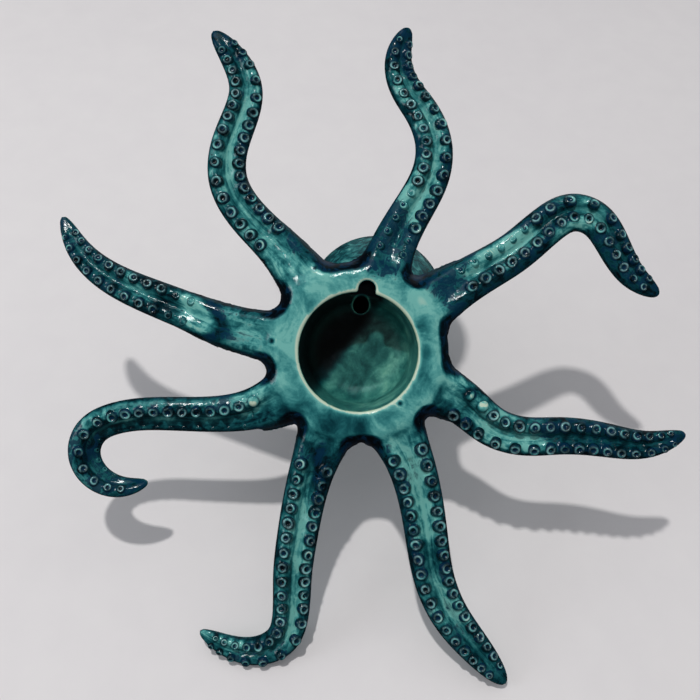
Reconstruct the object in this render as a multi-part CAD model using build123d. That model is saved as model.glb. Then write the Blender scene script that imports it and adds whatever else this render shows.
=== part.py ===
from build123d import *
import math
import os

# Glazed ceramic octopus that hangs on a wall, in millimetres.
# +Z is up, +Y points into the wall, and the origin is the centre of the back opening, on the wall.
# The head and the mantle are hollow castings, and the arms, suckers and eyes are stuck on as wet clay.

# Head casting: a shallow hollow dome, open at the back through a round hole with a straight wall
CLAY_WALL = 4.0
OPENING_DIAMETER = 49.0
OPENING_LAND = 4.0
RIM_FLAT_WIDTH = 8.0
HUB_DIAMETER = 76.0
HUB_SHOULDER = 9.0
HEAD_DEPTH = 35.0
BOWL_DEPTH = 29.0
BOWL_DRAFT = 2.0
BOWL_CORNER = 8.5

# Round notch at the top of the opening that takes the wall screw, with a pocket behind it for the
# screw's head, and the firing vent to the mantle
NOTCH_DIAMETER = 7.0
NOTCH_RISE = 1.6
NOTCH_LEAN = 8.0
POCKET_DIAMETER = 13.0
POCKET_DEPTH = 11.0
VENT_DIAMETER = 6.9
VENT_X = -1.4
VENT_Z = 20.5

# Mantle casting: a sack on a neck, which leans up and to one side in front of the head
SACK_X = -9.7
SACK_Z = 24.2
SACK_OUT = 89.0
SACK_RADIUS = 35.0
SACK_FRONT = 33.0
NECK_RADIUS = 25.0
NECK_BEHIND = 46.0
COLLAR_RADIUS = 26.0

# Eyes on the sides of the neck
EYE_DIAMETER = 11.0
EYELID_DIAMETER = 15.0
EYELID_HEIGHT = 2.8
EYE_RISE = 4.0
EYE_STAND = 1.5
EYE_TURN = 72.0

# Arms, as half widths across the sucker side and as shares of that half width
ARM_HALF_WIDTH = 9.0
ARM_ROOT_FLARE = 2.2
ARM_FLARE_LENGTH = 12.0
ARM_LEAN_LENGTH = 26.0
ARM_TAPER = 0.24
ARM_TIP_ROUNDING = 9
ARM_ROOT_RADIUS = 22.0
ARM_ROOT_DEPTH = 6.0
ARM_SECTIONS = 15
ARM_SECTION_CROWDING = 1.4
BEND_STEP = 0.02
SIDE_SHOULDER = (0.82, 0.30)
SUCKER_RIDGE = (0.56, 0.40)
GROOVE_HEIGHT = 0.24
BACK_HEIGHT = 0.84
BACK_SHOULDER = (0.68, 0.60)

# Suckers, two rows to an arm. They shrink with the arm, and their heights are shares of their diameter
SUCKER_DIAMETER = 4.9
SUCKER_SHRINK = 0.5
SUCKER_LARGEST_SHARE = 0.68
SUCKER_SEAT = 0.12
SUCKER_HEIGHT = 0.38
SUCKER_DIMPLE = 0.22
SUCKER_MOUTH = 0.80
SUCKER_SIDES = 8
SUCKER_PITCH = 1.44
SUCKER_SPLAY = 17.0
SUCKER_END = 0.95
ROW_OFFSET = 0.60

OPENING_RADIUS = OPENING_DIAMETER / 2
HUB_RADIUS = HUB_DIAMETER / 2
RIM_RADIUS = OPENING_RADIUS + RIM_FLAT_WIDTH
HEAD_MIDDLE = Vector(0, -HUB_SHOULDER, 0)

# Each arm: how wide it is beside the others, the lean of its sucker side near the root and at the tip,
# how far along its first suckers sit, and the points of its centre line after the root, as (x, y, z)
ARMS = [
    (
        1.02, 4.0, 14.0, 38.0,
        [
            (33.6, -6.8, 44.0), (46.5, -8, 57.5), (54.4, -8, 72.0), (54.2, -8, 84.5),
            (49.8, -9, 98.0), (47.2, -10, 110.5), (52.0, -11, 123.5), (61.5, -12, 136.0),
        ],
    ),
    (
        1.02, -4.0, 22.0, 22.0,
        [
            (-16.0, -7.2, 47.0), (-23.5, -8, 60.5), (-30.6, -8, 74.6), (-31.9, -9, 87.5),
            (-26.6, -10, 101.8), (-19.8, -11, 112.6), (-17.4, -12, 124.5), (-21.8, -12, 137.4),
        ],
    ),
    (
        1.08, -16.0, -24.0, 32.0,
        [
            (-50.6, -8.1, 33.0), (-66.0, -9, 42.4), (-79.0, -8, 53.2), (-89.8, -8, 58.6),
            (-98.8, -8, 56.2), (-106.4, -8, 46.4), (-114.6, -9, 33.4), (-127.0, -10, 24.0),
        ],
    ),
    (
        1.04, 26.0, -6.0, 26.0,
        [
            (-44.6, -8.0, -22.2), (-56.6, -9, -31.6), (-69.0, -8, -35.4), (-84.8, -7, -35.2),
            (-102.0, -6, -36.6), (-120.0, -5, -38.4), (-136.2, -5, -33.8),
        ],
    ),
    (
        1.12, 2.0, -10.0, 25.0,
        [
            (-22.6, -7.8, -48.3), (-26.4, -9, -62.5), (-29.0, -9, -78.6), (-32.0, -10, -95.0),
            (-38.4, -11, -110.4), (-49.8, -12, -125.6), (-62.8, -13, -141.0),
        ],
    ),
    (
        1.06, -2.0, -26.0, 29.0,
        [
            (18.8, -7.3, -48.0), (22.6, -9, -62.2), (25.6, -9, -78.6), (27.5, -10, -94.0),
            (28.2, -11, -109.2), (32.2, -12, -121.8), (43.4, -13, -127.2), (55.6, -13, -125.0),
            (67.4, -13, -118.4),
        ],
    ),
    (
        1.02, -24.0, -34.0, 26.0,
        [
            (44.0, -7.4, -24.2), (62.2, -8, -26.6), (83.2, -8, -26.4), (101.0, -9, -28.2),
            (111.4, -9, -33.4), (115.0, -10, -42.4), (111.0, -11, -51.8), (101.0, -12, -56.8),
            (88.8, -12, -55.0),
        ],
    ),
    (
        1.00, -8.0, 10.0, 52.0,
        [
            (43.4, -6.2, 7.8), (57.5, -9, 11.6), (73.9, -10, 18.0), (90.9, -11, 24.8),
            (107.2, -13, 33.0), (118.8, -15, 43.4), (126.8, -17, 58.4),
        ],
    ),
]


def quarter(start, end, tangents):
    """Quarter of an oval from start to end, which bulges to the side that its end directions point to."""
    corner = (start[0] if tangents[0][0] == 0 else end[0], start[1] if tangents[0][1] == 0 else end[1])
    share = math.sqrt(0.5)
    middle = tuple(corner[i] + (start[i] + end[i] - 2 * corner[i]) * (1 - share) for i in (0, 1))
    return Spline([start, middle, end], tangents=tangents)


def head_block():
    """The outside of the head, with no hollow, which the pieces stuck to it are cut by."""
    widest = (HUB_RADIUS, -HUB_SHOULDER)
    outline = [
        Polyline((0, -HEAD_DEPTH), (0, 0), (RIM_RADIUS, 0)),
        quarter((RIM_RADIUS, 0), widest, [(1, 0), (0, -1)]),
        quarter(widest, (0, -HEAD_DEPTH), [(0, -1), (-1, 0)]),
    ]
    return revolve(make_face(outline), Axis.Y)


def head_hollow():
    """The inside of the head: the straight wall of the round opening, and the tapering bowl behind it."""
    bowl_radius = OPENING_RADIUS - BOWL_DRAFT
    corner = (bowl_radius, BOWL_CORNER - BOWL_DEPTH)
    floor = (bowl_radius - BOWL_CORNER, -BOWL_DEPTH)
    mouth = (OPENING_RADIUS, 0)
    land = (OPENING_RADIUS, -OPENING_LAND)
    outline = [
        Polyline(floor, (0, -BOWL_DEPTH), (0, 0), mouth, land, corner),
        quarter(corner, floor, [(0, -1), (-1, 0)]),
    ]
    return revolve(make_face(outline), Axis.Y)


def bored(x, z, diameter, near, far):
    """Round cutter along the axis of the opening, between two depths behind the wall."""
    plane = Plane(origin=(x, -near, z), x_dir=(1, 0, 0), z_dir=(0, -1, 0))
    return extrude(plane * Circle(diameter / 2), far - near)


def head_shell():
    """Hollow head with the screw's notch and pocket, and the vent that lets air out of the mantle."""
    notch_reach = OPENING_RADIUS + NOTCH_RISE
    notch_x = -notch_reach * math.sin(math.radians(NOTCH_LEAN))
    notch_z = notch_reach * math.cos(math.radians(NOTCH_LEAN))
    notch = bored(notch_x, notch_z, NOTCH_DIAMETER, 0, POCKET_DEPTH)
    pocket = bored(notch_x, notch_z, POCKET_DIAMETER, OPENING_LAND, POCKET_DEPTH)
    vent = bored(VENT_X, VENT_Z, VENT_DIAMETER, HUB_SHOULDER, HEAD_DEPTH)
    return head_block() - [head_hollow(), notch, pocket, vent]


def mantle_plane():
    """Plane through the widest part of the sack: z points forward along the mantle, y points up."""
    sack = Vector(SACK_X, -SACK_OUT, SACK_Z)
    return Plane(origin=sack, x_dir=(1, 0, 0), z_dir=sack - HEAD_MIDDLE)


def mantle_block(inset):
    """The mantle's turned form, drawn in by inset all round, from the middle of the head forward."""
    behind = (Vector(SACK_X, -SACK_OUT, SACK_Z) - HEAD_MIDDLE).length
    collar = (COLLAR_RADIUS - inset, -behind)
    neck = (NECK_RADIUS - inset, -NECK_BEHIND)
    widest = (SACK_RADIUS - inset, 0)
    front = (0, SACK_FRONT - inset)
    outline = [
        Polyline(front, (0, -behind), collar),
        Spline([collar, neck, widest], tangents=[(0, 1), (0, 1)]),
        quarter(widest, front, [(0, 1), (-1, 0)]),
    ]
    return mantle_plane() * Rotation(90, 0, 0) * revolve(make_face(outline), Axis.Y)


def mantle_shell():
    """Hollow mantle, open where its neck is stuck over the head's wall."""
    return mantle_block(0) - mantle_block(CLAY_WALL) - head_block()


def eye(side):
    """One eyeball in its raised lid, square to the neck where it sits."""
    ball = EYE_DIAMETER / 2
    lid = EYELID_DIAMETER / 2
    cap_radius = (ball**2 + EYE_RISE**2) / (2 * EYE_RISE)
    half_cap = math.asin(ball / cap_radius) / 2
    cap_middle = (cap_radius * math.sin(half_cap), EYE_RISE - cap_radius * (1 - math.cos(half_cap)))
    root = NECK_RADIUS - math.sqrt(NECK_RADIUS**2 - lid**2) + 2 * EYE_STAND
    outline = [
        Polyline((0, EYE_RISE), (0, -root), (lid, -root), (lid, 0)),
        ThreePointArc((lid, 0), ((lid + ball) / 2, EYELID_HEIGHT), (ball, 0)),
        ThreePointArc((ball, 0), cap_middle, (0, EYE_RISE)),
    ]
    neck = mantle_plane().location * Location((0, 0, -NECK_BEHIND))
    seat = neck * Rotation(0, 0, side * EYE_TURN) * Location((0, NECK_RADIUS + EYE_STAND, 0))
    return seat * revolve(make_face(outline), Axis.Y) - mantle_block(0)


class Arm:
    """Centre line, widths and lean of one arm, measured from its root to its tip."""

    def __init__(self, width_share, root_lean, tip_lean, first_sucker, points):
        direction = Vector(points[0][0], 0, points[0][2]).normalized()
        root = direction * ARM_ROOT_RADIUS - Vector(0, ARM_ROOT_DEPTH, 0)
        self.path = Spline([root] + [Vector(*point) for point in points])
        self.length = self.path.length
        self.width_share = width_share
        self.root_lean = root_lean
        self.tip_lean = tip_lean
        self.first_sucker = first_sucker

    def half_width(self, along):
        """Half width of the arm at a share of its length: flared root, slow taper, rounded tip."""
        body = ARM_HALF_WIDTH * self.width_share * (1 - ARM_TAPER * along)
        flare = ARM_ROOT_FLARE * math.exp(-((along * self.length / ARM_FLARE_LENGTH / 2) ** 2))
        return (body + flare) * math.sqrt(1 - along**ARM_TIP_ROUNDING)

    def heading(self, along):
        """Direction of the centre line at a share of its length."""
        return self.path.tangent_at(along * self.length, position_mode=PositionMode.LENGTH)

    def plane(self, along):
        """Section plane at a share of the length: x across the arm, y out of its sucker side."""
        point = self.path.position_at(along * self.length, position_mode=PositionMode.LENGTH)
        tangent = self.heading(along)
        settled = 1 - math.exp(-((along * self.length / ARM_LEAN_LENGTH) ** 2))
        lean = settled * (self.root_lean + (self.tip_lean - self.root_lean) * along)
        across = Vector(0, 1, 0).cross(tangent).rotate(Axis((0, 0, 0), tuple(tangent)), lean)
        return Plane(origin=point, x_dir=across, z_dir=tangent)

    def bend(self, along):
        """Turn of the centre line at a share of its length, in radians to the millimetre."""
        before = self.heading(max(along - BEND_STEP, 0))
        after = self.heading(min(along + BEND_STEP, 1))
        return math.radians(before.get_angle(after)) / (2 * BEND_STEP * self.length)

    def section(self, along):
        """Closed outline: rounded back, and a sucker side with two ridges and a groove between."""
        half = self.half_width(along)
        right = [(1.0, 0.0), SIDE_SHOULDER, SUCKER_RIDGE]
        left = [(-x, y) for x, y in reversed(right)]
        shoulder_x, shoulder_y = BACK_SHOULDER
        back = [(-shoulder_x, -shoulder_y), (0.0, -BACK_HEIGHT), (shoulder_x, -shoulder_y)]
        outline = right + [(0.0, GROOVE_HEIGHT)] + left + back
        return make_face(Spline([(x * half, y * half) for x, y in outline], periodic=True))

    def solid(self):
        """The arm alone, before its root is cut to the head."""
        shares = [1 - (1 - step / ARM_SECTIONS) ** ARM_SECTION_CROWDING for step in range(ARM_SECTIONS)]
        sections = [self.plane(share) * self.section(share) for share in shares]
        tip = Vertex(*self.path.position_at(1.0))
        return loft(sections + [tip])

    def seats(self):
        """Place and diameter of each sucker's flat seat, in two rows that shrink toward the tip."""
        places = []
        distance = self.first_sucker
        while distance < SUCKER_END * self.length:
            along = distance / self.length
            half = self.half_width(along)
            shrunk = SUCKER_DIAMETER * (half / ARM_HALF_WIDTH) ** SUCKER_SHRINK
            diameter = min(shrunk, SUCKER_LARGEST_SHARE * half)
            for side in (-1, 1):
                ridge = Location((side * ROW_OFFSET * half, SUCKER_RIDGE[1] * half, 0))
                splay = Rotation(-90, 0, 0) * Rotation(0, side * SUCKER_SPLAY, 0)
                sunk = Location((0, 0, -SUCKER_SEAT * diameter))
                places.append((self.plane(along).location * ridge * splay * sunk, diameter))
            distance += SUCKER_PITCH * diameter * (1 + ROW_OFFSET * half * self.bend(along))
        return places


def ring(diameter, height):
    """Corners of a sucker's outline at a height above its seat."""
    turns = [2 * math.pi * corner / SUCKER_SIDES for corner in range(SUCKER_SIDES)]
    return [Vector(diameter / 2 * math.cos(turn), diameter / 2 * math.sin(turn), height) for turn in turns]


def flat(*corners):
    """Flat face between corners."""
    return Face(Wire.make_polygon(corners))


def sucker(diameter):
    """One sucker: a button on a flat seat that tapers to a lip round its dimple."""
    seat = ring(diameter, 0)
    lip = ring(diameter * SUCKER_MOUTH, diameter * SUCKER_HEIGHT)
    dimple = Vector(0, 0, diameter * (SUCKER_HEIGHT - SUCKER_DIMPLE))
    faces = [flat(*seat)]
    for corner in range(SUCKER_SIDES):
        following = (corner + 1) % SUCKER_SIDES
        faces.append(flat(seat[corner], seat[following], lip[following], lip[corner]))
        faces.append(flat(lip[corner], lip[following], dimple))
    return Solid(Shell(faces))


def seat_cutter(diameter):
    """Clears the clay above a sucker's seat."""
    return extrude(flat(*ring(diameter, 0)), diameter * SUCKER_HEIGHT, dir=(0, 0, 1))


os.makedirs("parts", exist_ok=True)

block = head_block()
pieces = {"head_shell": head_shell(), "mantle_shell": mantle_shell()}
for number, settings in enumerate(ARMS, start=1):
    arm = Arm(*settings)
    seats = arm.seats()
    pieces[f"arm_{number}"] = arm.solid() - block - [place * seat_cutter(size) for place, size in seats]
    pieces[f"suckers_{number}"] = Compound(children=[place * sucker(size) for place, size in seats])
pieces["eye_left"] = eye(1)
pieces["eye_right"] = eye(-1)

for name, piece in pieces.items():
    export_step(piece, f"parts/{name}.step")
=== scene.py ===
import math

import bpy
import mathutils
import numpy as np
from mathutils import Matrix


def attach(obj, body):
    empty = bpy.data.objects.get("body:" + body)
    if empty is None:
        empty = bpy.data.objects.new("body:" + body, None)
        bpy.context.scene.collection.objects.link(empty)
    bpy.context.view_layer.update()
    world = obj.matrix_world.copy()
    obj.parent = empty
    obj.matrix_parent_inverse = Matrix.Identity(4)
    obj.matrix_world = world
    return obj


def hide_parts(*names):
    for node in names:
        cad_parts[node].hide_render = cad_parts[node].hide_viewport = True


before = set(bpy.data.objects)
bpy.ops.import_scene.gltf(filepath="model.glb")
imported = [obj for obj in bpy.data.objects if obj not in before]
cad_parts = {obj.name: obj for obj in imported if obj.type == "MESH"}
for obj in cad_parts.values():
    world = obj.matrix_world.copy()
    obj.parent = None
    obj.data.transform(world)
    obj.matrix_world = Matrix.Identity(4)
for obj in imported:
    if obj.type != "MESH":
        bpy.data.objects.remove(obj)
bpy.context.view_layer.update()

# Glazed ceramic octopus that hangs on a wall, seen from its back, the sucker side.
# Sizes are in millimetres in the frame of the CAD model: +Z up, +Y into the wall, and the origin in the
# middle of the back opening. Meshes are written in metres.
MM = 0.001
SEED = 41

# Lattice that the clay body is sampled on, and how its surface is smoothed
STEP = 0.62
FAR = 20.0
UNREACHED = 1e9
TINY = 1e-12
LATTICE_SPAN = 4096
SMOOTHING_ROUNDS = 6
SMOOTHING_PULLS = (0.55, -0.57)

# Boxes of the lattice, as lowest and highest corners. The arms' box is as long and wide as they need
ARM_BLOCK_MARGIN = 12.0
ARM_BLOCK_LEVELS = (-28, 3)
MANTLE_BLOCK = ((-52, -126, -30), (34, -25, 68))
HEAD_REACH = ((-55, -52, -55), (55, 14, 55))
MANTLE_REACH = ((-52, -128, -40), (40, 10, 72))
HOLLOW_REACH = ((-50, -130, -50), (50, 5, 75))

# Head: rim, shoulder and dome, and the bowl that opens at the back
OPENING_RADIUS = 24.5
OPENING_LAND = 4.0
RIM_RADIUS = 30.5
HUB_RADIUS = 38.0
HUB_SHOULDER = 9.0
HEAD_DEPTH = 35.0
BOWL_RADIUS = 22.5
BOWL_CORNER = 8.5
BOWL_DEPTH = 29.0
CLAY_WALL = 4.0
MOUTH_OVERRUN = 6.0

# Screw notch with its pocket, and the firing vent, as (x, z) places and radii
NOTCH_PLACE = (-3.63, 25.85)
NOTCH_RADIUS = 3.5
POCKET_RADIUS = 6.5
POCKET_DEPTH = 11.0
VENT_PLACE = (-1.4, 20.5)
VENT_RADIUS = 3.45

# Mantle: a sack on a neck, turned about the line from the middle of the head to the middle of the sack
HEAD_MIDDLE = np.array([0.0, -HUB_SHOULDER, 0.0])
SACK_MIDDLE = np.array([-9.7, -89.0, 24.2])
SACK_RADIUS = 35.0
SACK_FRONT = 33.0
NECK_RADIUS = 25.0
NECK_BEHIND = 46.0
COLLAR_RADIUS = 26.0

# Points on turned outlines, and how far past its ends the mantle's side is led
SHOULDER_POINTS = 16
MANTLE_POINTS = 60
MANTLE_LEAD = 8.0

# Points that are measured against an arm at a time
CHUNK = 4000

# Eyes on the sides of the neck
EYE_RADIUS = 5.5
EYELID_RADIUS = 7.5
EYELID_HEIGHT = 2.8
EYE_RISE = 4.0
EYE_STAND = 1.5
EYE_TURN = 72.0

# How far the soft clay joins run into each other, and how far edges are rounded
ARM_WEB = 3.0
HEAD_WEB = 4.5
NECK_WEB = 10.0
EDGE_ROUNDING = 1.7
FACE_ROUNDING = 1.2
VENT_ROUNDING = 0.6

# How far the skin swells under each sucker, and where the swelling starts and is whole, in diameters
SKIN_SWELL = 0.45
SWELL_ZONE = (0.68, 0.44)
SWELL_REACH = 4.0

# Arms, as half widths across the sucker side
ARM_STEP = 0.8
ARM_SAMPLES = 2000
ARM_HALF_WIDTH = 9.0
ARM_ROOT_FLARE = 2.2
ARM_FLARE_LENGTH = 12.0
ARM_LEAN_LENGTH = 26.0
ARM_TAPER = 0.24
ARM_ROOT_RADIUS = 22.0
ARM_ROOT_DEPTH = 6.0
ARM_REACH = 15.0

# Section of an arm in half widths: two ridges with a groove between, and a round back. From a share of the
# length on, the ridges fade into a round tip
SECTION_MIDDLE = -0.2
SECTION_PLACES = 721
ROUND_BACK = [(-1.0, 0.0), (-0.68, -0.60), (0.0, -0.84), (0.68, -0.60)]
RIDGED_SIDE = [(0.82, 0.30), (0.56, 0.40), (0.21, 0.26), (-0.21, 0.26), (-0.56, 0.40), (-0.82, 0.30)]
SECTION = [(1.0, 0.0)] + RIDGED_SIDE + ROUND_BACK
TIP_SECTION = [(1.0, 0.0), (0.68, 0.36), (0.0, 0.46), (-0.68, 0.36)] + ROUND_BACK
TIP_START = 0.84

# Clay that fills the groove of each arm from the head's face to the first suckers
GROOVE_HEIGHT = 0.24
FILL_WIDTH = 0.60
FILL_SLOPE = 0.75
FILL_DEPTH = 0.30
FILL_START = 9.0
FILL_STEP = 0.4
FILL_OVERRUN = 2.0
FILL_ENDING = 9.0
FILL_ROUNDING = 1.8

# Suckers, two rows to an arm
SUCKER_DIAMETER = 4.9
SUCKER_SHRINK = 0.5
SUCKER_LARGEST_SHARE = 0.68
SUCKER_SPLAY = 17.0
SUCKER_END = 0.95
RIDGE_HEIGHT = 0.40
BEND_STEP = 0.02

# Each arm: how wide it is beside the others, the lean of its sucker side near the root and at the tip,
# how far along its first suckers sit, how far the rows lie from its middle in half widths, their pitch in
# diameters, how blunt its tip is, and the points of its centre line after the root, as (x, y, z)
ARMS = [
    (1.02, 4.0, 14.0, 38.0, 0.60, 1.20, 9, [
        (33.6, -6.8, 44.0), (46.5, -8, 57.5), (54.4, -8, 72.0), (54.2, -8, 84.5),
        (49.8, -9, 98.0), (47.2, -10, 110.5), (52.0, -11, 123.5), (61.5, -12, 136.0),
    ]),
    (1.02, -4.0, 22.0, 22.0, 0.53, 1.22, 9, [
        (-16.0, -7.2, 47.0), (-23.5, -8, 60.5), (-30.6, -8, 74.6), (-31.9, -9, 87.5),
        (-26.6, -10, 101.8), (-19.8, -11, 112.6), (-17.4, -12, 124.5), (-21.8, -12, 137.4),
    ]),
    (1.08, -16.0, -14.0, 32.0, 0.45, 1.30, 9, [
        (-50.6, -8.1, 33.0), (-66.0, -9, 42.4), (-79.0, -8, 53.2), (-89.8, -8, 58.6),
        (-98.8, -8, 56.2), (-106.4, -8, 46.4), (-114.6, -9, 33.4), (-127.0, -10, 24.0),
    ]),
    (1.04, 26.0, -6.0, 26.0, 0.58, 1.28, 6, [
        (-44.6, -8.0, -22.2), (-56.6, -9, -31.6), (-69.0, -8, -35.4), (-84.8, -7, -35.2),
        (-102.0, -6, -36.6), (-120.0, -5, -38.4), (-136.2, -5, -33.8),
    ]),
    (1.12, 2.0, -10.0, 25.0, 0.60, 1.20, 8, [
        (-22.6, -7.8, -48.3), (-26.4, -9, -62.5), (-29.0, -9, -78.6), (-32.0, -10, -95.0),
        (-38.4, -11, -110.4), (-49.8, -12, -125.6), (-62.8, -13, -141.0),
    ]),
    (1.06, -2.0, -16.0, 29.0, 0.58, 1.22, 6, [
        (18.8, -7.3, -48.0), (22.6, -9, -62.2), (25.6, -9, -78.6), (27.5, -10, -94.0),
        (28.2, -11, -109.2), (32.2, -12, -121.8), (43.4, -13, -127.2), (55.6, -13, -125.0),
        (67.4, -13, -118.4),
    ]),
    (1.02, -36.0, -44.0, 26.0, 0.60, 1.20, 7, [
        (44.0, -7.4, -24.2), (62.2, -8, -26.6), (83.2, -8, -26.4), (101.0, -9, -28.2),
        (111.4, -9, -33.4), (115.0, -10, -42.4), (111.0, -11, -51.8), (101.0, -12, -56.8),
        (88.8, -12, -55.0),
    ]),
    (1.00, -8.0, 10.0, 52.0, 0.58, 1.42, 5, [
        (43.4, -6.2, 7.8), (57.5, -9, 11.6), (73.9, -10, 18.0), (90.9, -11, 24.8),
        (107.2, -13, 33.0), (118.8, -15, 43.4), (126.8, -17, 58.4),
    ]),
]

# Patches of thinner or thicker glaze on each arm: start and end in millimetres along the arm, the sides it
# lies between in half widths across (left of the way to the tip is positive, seen from the back), and how
# much paler and how much more navy the glaze is there
PATCHES = {
    1: [
        (12, 50, 0.3, 1.2, 0.08, -0.1), (14, 56, -0.45, 0.2, -0.04, 0.0),
        (12, 50, -1.2, -0.45, -0.12, 0.5), (44, 100, -1.2, -0.6, -0.2, 0.5),
        (72, 102, -0.35, 0.35, 0.16, -0.2), (104, 118, -1.2, -0.3, 0.16, -0.2),
        (122, 150, -1.2, 1.2, -0.22, 0.4),
    ],
    2: [
        (12, 37, -1.2, 1.2, -0.08, 0.62), (38, 56, -0.4, 1.2, 0.24, -0.3),
        (40, 80, -1.2, -0.5, -0.2, 0.5), (56, 100, -0.4, 0.4, 0.08, -0.2),
        (76, 104, 0.3, 0.8, 0.16, -0.1), (56, 100, 0.8, 1.2, -0.2, 0.3),
        (104, 140, -1.2, 1.2, -0.24, 0.45),
    ],
    3: [
        (13, 28, -0.4, 1.2, -0.14, 0.75), (12, 70, -1.2, -0.5, -0.35, 0.3), (28, 44, 0.5, 1.2, -0.1, 0.4),
        (44, 64, -0.4, 1.2, 0.22, -0.2), (66, 84, -0.6, 1.2, -0.12, 0.5),
        (80, 97, -1.2, -0.3, 0.26, -0.3), (97, 150, -1.2, 1.2, -0.2, 0.45),
    ],
    4: [
        (8, 28, -0.2, 1.2, 0.12, -0.1), (8, 36, -1.2, -0.35, -0.4, 0.1), (27, 33, -0.6, 1.2, -0.14, 0.3),
        (34, 55, -0.7, 1.2, 0.22, -0.3), (55, 66, -0.8, 0.4, 0.06, 0.0),
        (66, 130, -1.2, 1.2, -0.26, 0.45), (112, 130, 0.4, 1.2, 0.2, -0.2),
    ],
    5: [
        (8, 24, -1.2, 1.2, 0.08, 0.2), (22, 66, -0.45, 0.45, 0.2, -0.3),
        (12, 70, -1.2, -0.6, -0.16, 0.35), (66, 82, -1.2, 1.2, -0.14, 0.25),
        (84, 100, 0.1, 1.0, 0.26, -0.2), (104, 170, -1.2, 1.2, -0.12, 0.22),
    ],
    6: [
        (8, 31, -1.2, 0.4, -0.12, 0.45), (8, 42, -0.05, 1.2, -0.4, 0.2),
        (34, 98, -0.45, 0.45, 0.26, -0.3), (62, 78, 0.2, 1.2, 0.24, -0.3),
        (100, 124, -1.2, 1.2, -0.14, 0.3), (128, 180, -1.2, -0.3, 0.3, -0.3),
    ],
    7: [
        (8, 34, -1.2, -0.1, 0.12, -0.1), (34, 90, -1.2, -0.5, -0.04, 0.15),
        (10, 110, 0.05, 1.2, -0.32, 0.15), (96, 180, -1.2, 1.2, -0.12, 0.45),
        (86, 126, -1.2, -0.78, 0.22, 0.0),
    ],
    8: [
        (12, 33, -1.2, 1.2, 0.0, 0.12), (35, 43, -1.2, 1.2, -0.24, 0.85), (44, 57, -0.6, 0.7, 0.34, -0.4),
        (57, 73, -1.2, 1.2, -0.3, -0.1), (74, 170, -0.35, 0.35, 0.02, 0.0),
        (84, 170, -1.2, 1.2, -0.14, 0.42),
    ],
}

# How far the patches are carried out, how soft their ends and sides are, and how far and how often these
# waver
PATCH_PALE = 0.9
PATCH_NAVY = 0.90
PATCH_END_EDGE = 4.0
PATCH_SIDE_EDGE = 0.15
PATCH_END_WAVER = 4.5
PATCH_SIDE_WAVER = 0.16
PATCH_END_WAVES = 2.6
PATCH_SIDE_WAVES = 0.35
PATCH_ARM_SHIFT = 1.7

# Patches on the head's face: x, z, reach, and how much paler and how much more navy the glaze is there
HEAD_PATCHES = [
    (-25.5, 9.0, 4.0, -0.24, 0.0), (-26.5, 0.0, 4.0, -0.26, 0.0), (-25.5, -8.0, 3.5, -0.14, 0.0),
    (-25.5, 21.0, 4.5, 0.12, 0.0), (-31.5, 16.0, 5.0, 0.1, 0.0), (-18.0, 27.0, 3.0, -0.1, 0.0),
    (-7.0, 37.0, 6.0, -0.2, 0.75), (-14.0, 33.0, 4.0, -0.05, 0.45), (8.5, 39.0, 5.0, -0.3, 0.3),
    (17.0, 30.0, 8.0, 0.1, 0.0), (28.0, 34.0, 6.0, -0.12, 0.0), (31.0, 8.0, 8.0, 0.09, 0.0),
    (40.0, 4.0, 5.0, -0.2, 0.15), (24.5, -17.0, 5.0, -0.15, 0.0), (27.0, -27.0, 5.0, -0.18, 0.0),
    (13.0, -31.5, 6.0, -0.34, 0.15), (20.0, -23.5, 4.0, -0.12, 0.0), (9.0, -25.0, 5.0, -0.12, 0.0),
    (0.0, -31.0, 4.5, -0.34, 0.1), (-15.0, -29.0, 7.0, 0.11, 0.0), (-21.5, -23.5, 5.0, 0.1, 0.0),
    (-34.0, -3.0, 6.0, 0.1, 0.0), (-36.0, 24.0, 5.0, -0.1, 0.55),
]

# Small marks left on the head's back by the kiln stilts, as (x, z): a bare dot in a pale ring
STILT_MARKS = [(35.4, 4.5), (-17.1, -21.0), (17.8, 34.5)]
STILT_RING = 1.7
STILT_RING_WIDTH = 0.6
STILT_RING_PALE = 0.12
STILT_DOT = 0.8
STILT_DOT_PALE = -0.60
STILT_LEVEL = -6.0

# Zones of the glaze, as where each starts and where it is whole: by radius, by height, by how far the skin
# faces the back, and by distance from the mantle
ARM_ZONE = (34, 46)
ARM_LEVELS = (-26, -20)
WALL_ZONE = (46, 40)
SACK_ZONE = (2.0, 0.5)
SACK_LEVELS = (-24, -30)
FRONT_FACING = (0.10, -0.35)
FRONT_ZONE = (24, 27)
FRONT_LEVEL = -30.0
# Painted shade with darker glaze: skin turned away from the back, on the arms' sides and the head's walls, is
# darkened
STEEP_SHADE_FACING = (0.86, 0.42)
WALL_SHADE_FACING = (0.95, 0.76)
TIP_ZONE = (0.90, 1.0)
GROOVE_WIDTH = 0.40

# Glaze of each zone, as how pale and how navy it is. Pale runs from 0, thick and dark, to 1, thin and cream
HEAD_PALE = 0.80
ARM_GLAZE = (0.67, 0.08)
ARM_PALEST = 0.88
# Sides and walls turned away from the back: darker navy glaze together with painted shade
SIDE_GLAZE_AND_SHADE = (0.32, 0.25)
WALL_GLAZE_AND_SHADE = (0.06, 0.35)
STEEP_SHADE_SHARE = 0.95
FRONT_GLAZE = (0.60, 0.14)
# Painted shade: the vent's inside is painted near black
VENT_SHADE_PALE = 0.02
LIP_PALE = 1.16
PALEST = 1.2

# What an arm's groove, a sucker's foot and an arm's tip add to how pale and how navy the glaze is; at a
# sucker's foot this is pooled glaze and painted shade
GROOVE_GLAZE = (0.07, -0.15)
FOOT_POOL_AND_SHADE = (-0.22, 0.32)
TIP_GLAZE = (-0.16, 0.25)

# Glaze that pools dark in hollows and thins on ridges
POOL_ROUNDS = 3
POOL_SHARE = 1.1
POOL_DARKEST = -0.16
POOL_PALEST = 0.20
POOL_FOOT_LOSS = 0.6
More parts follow.
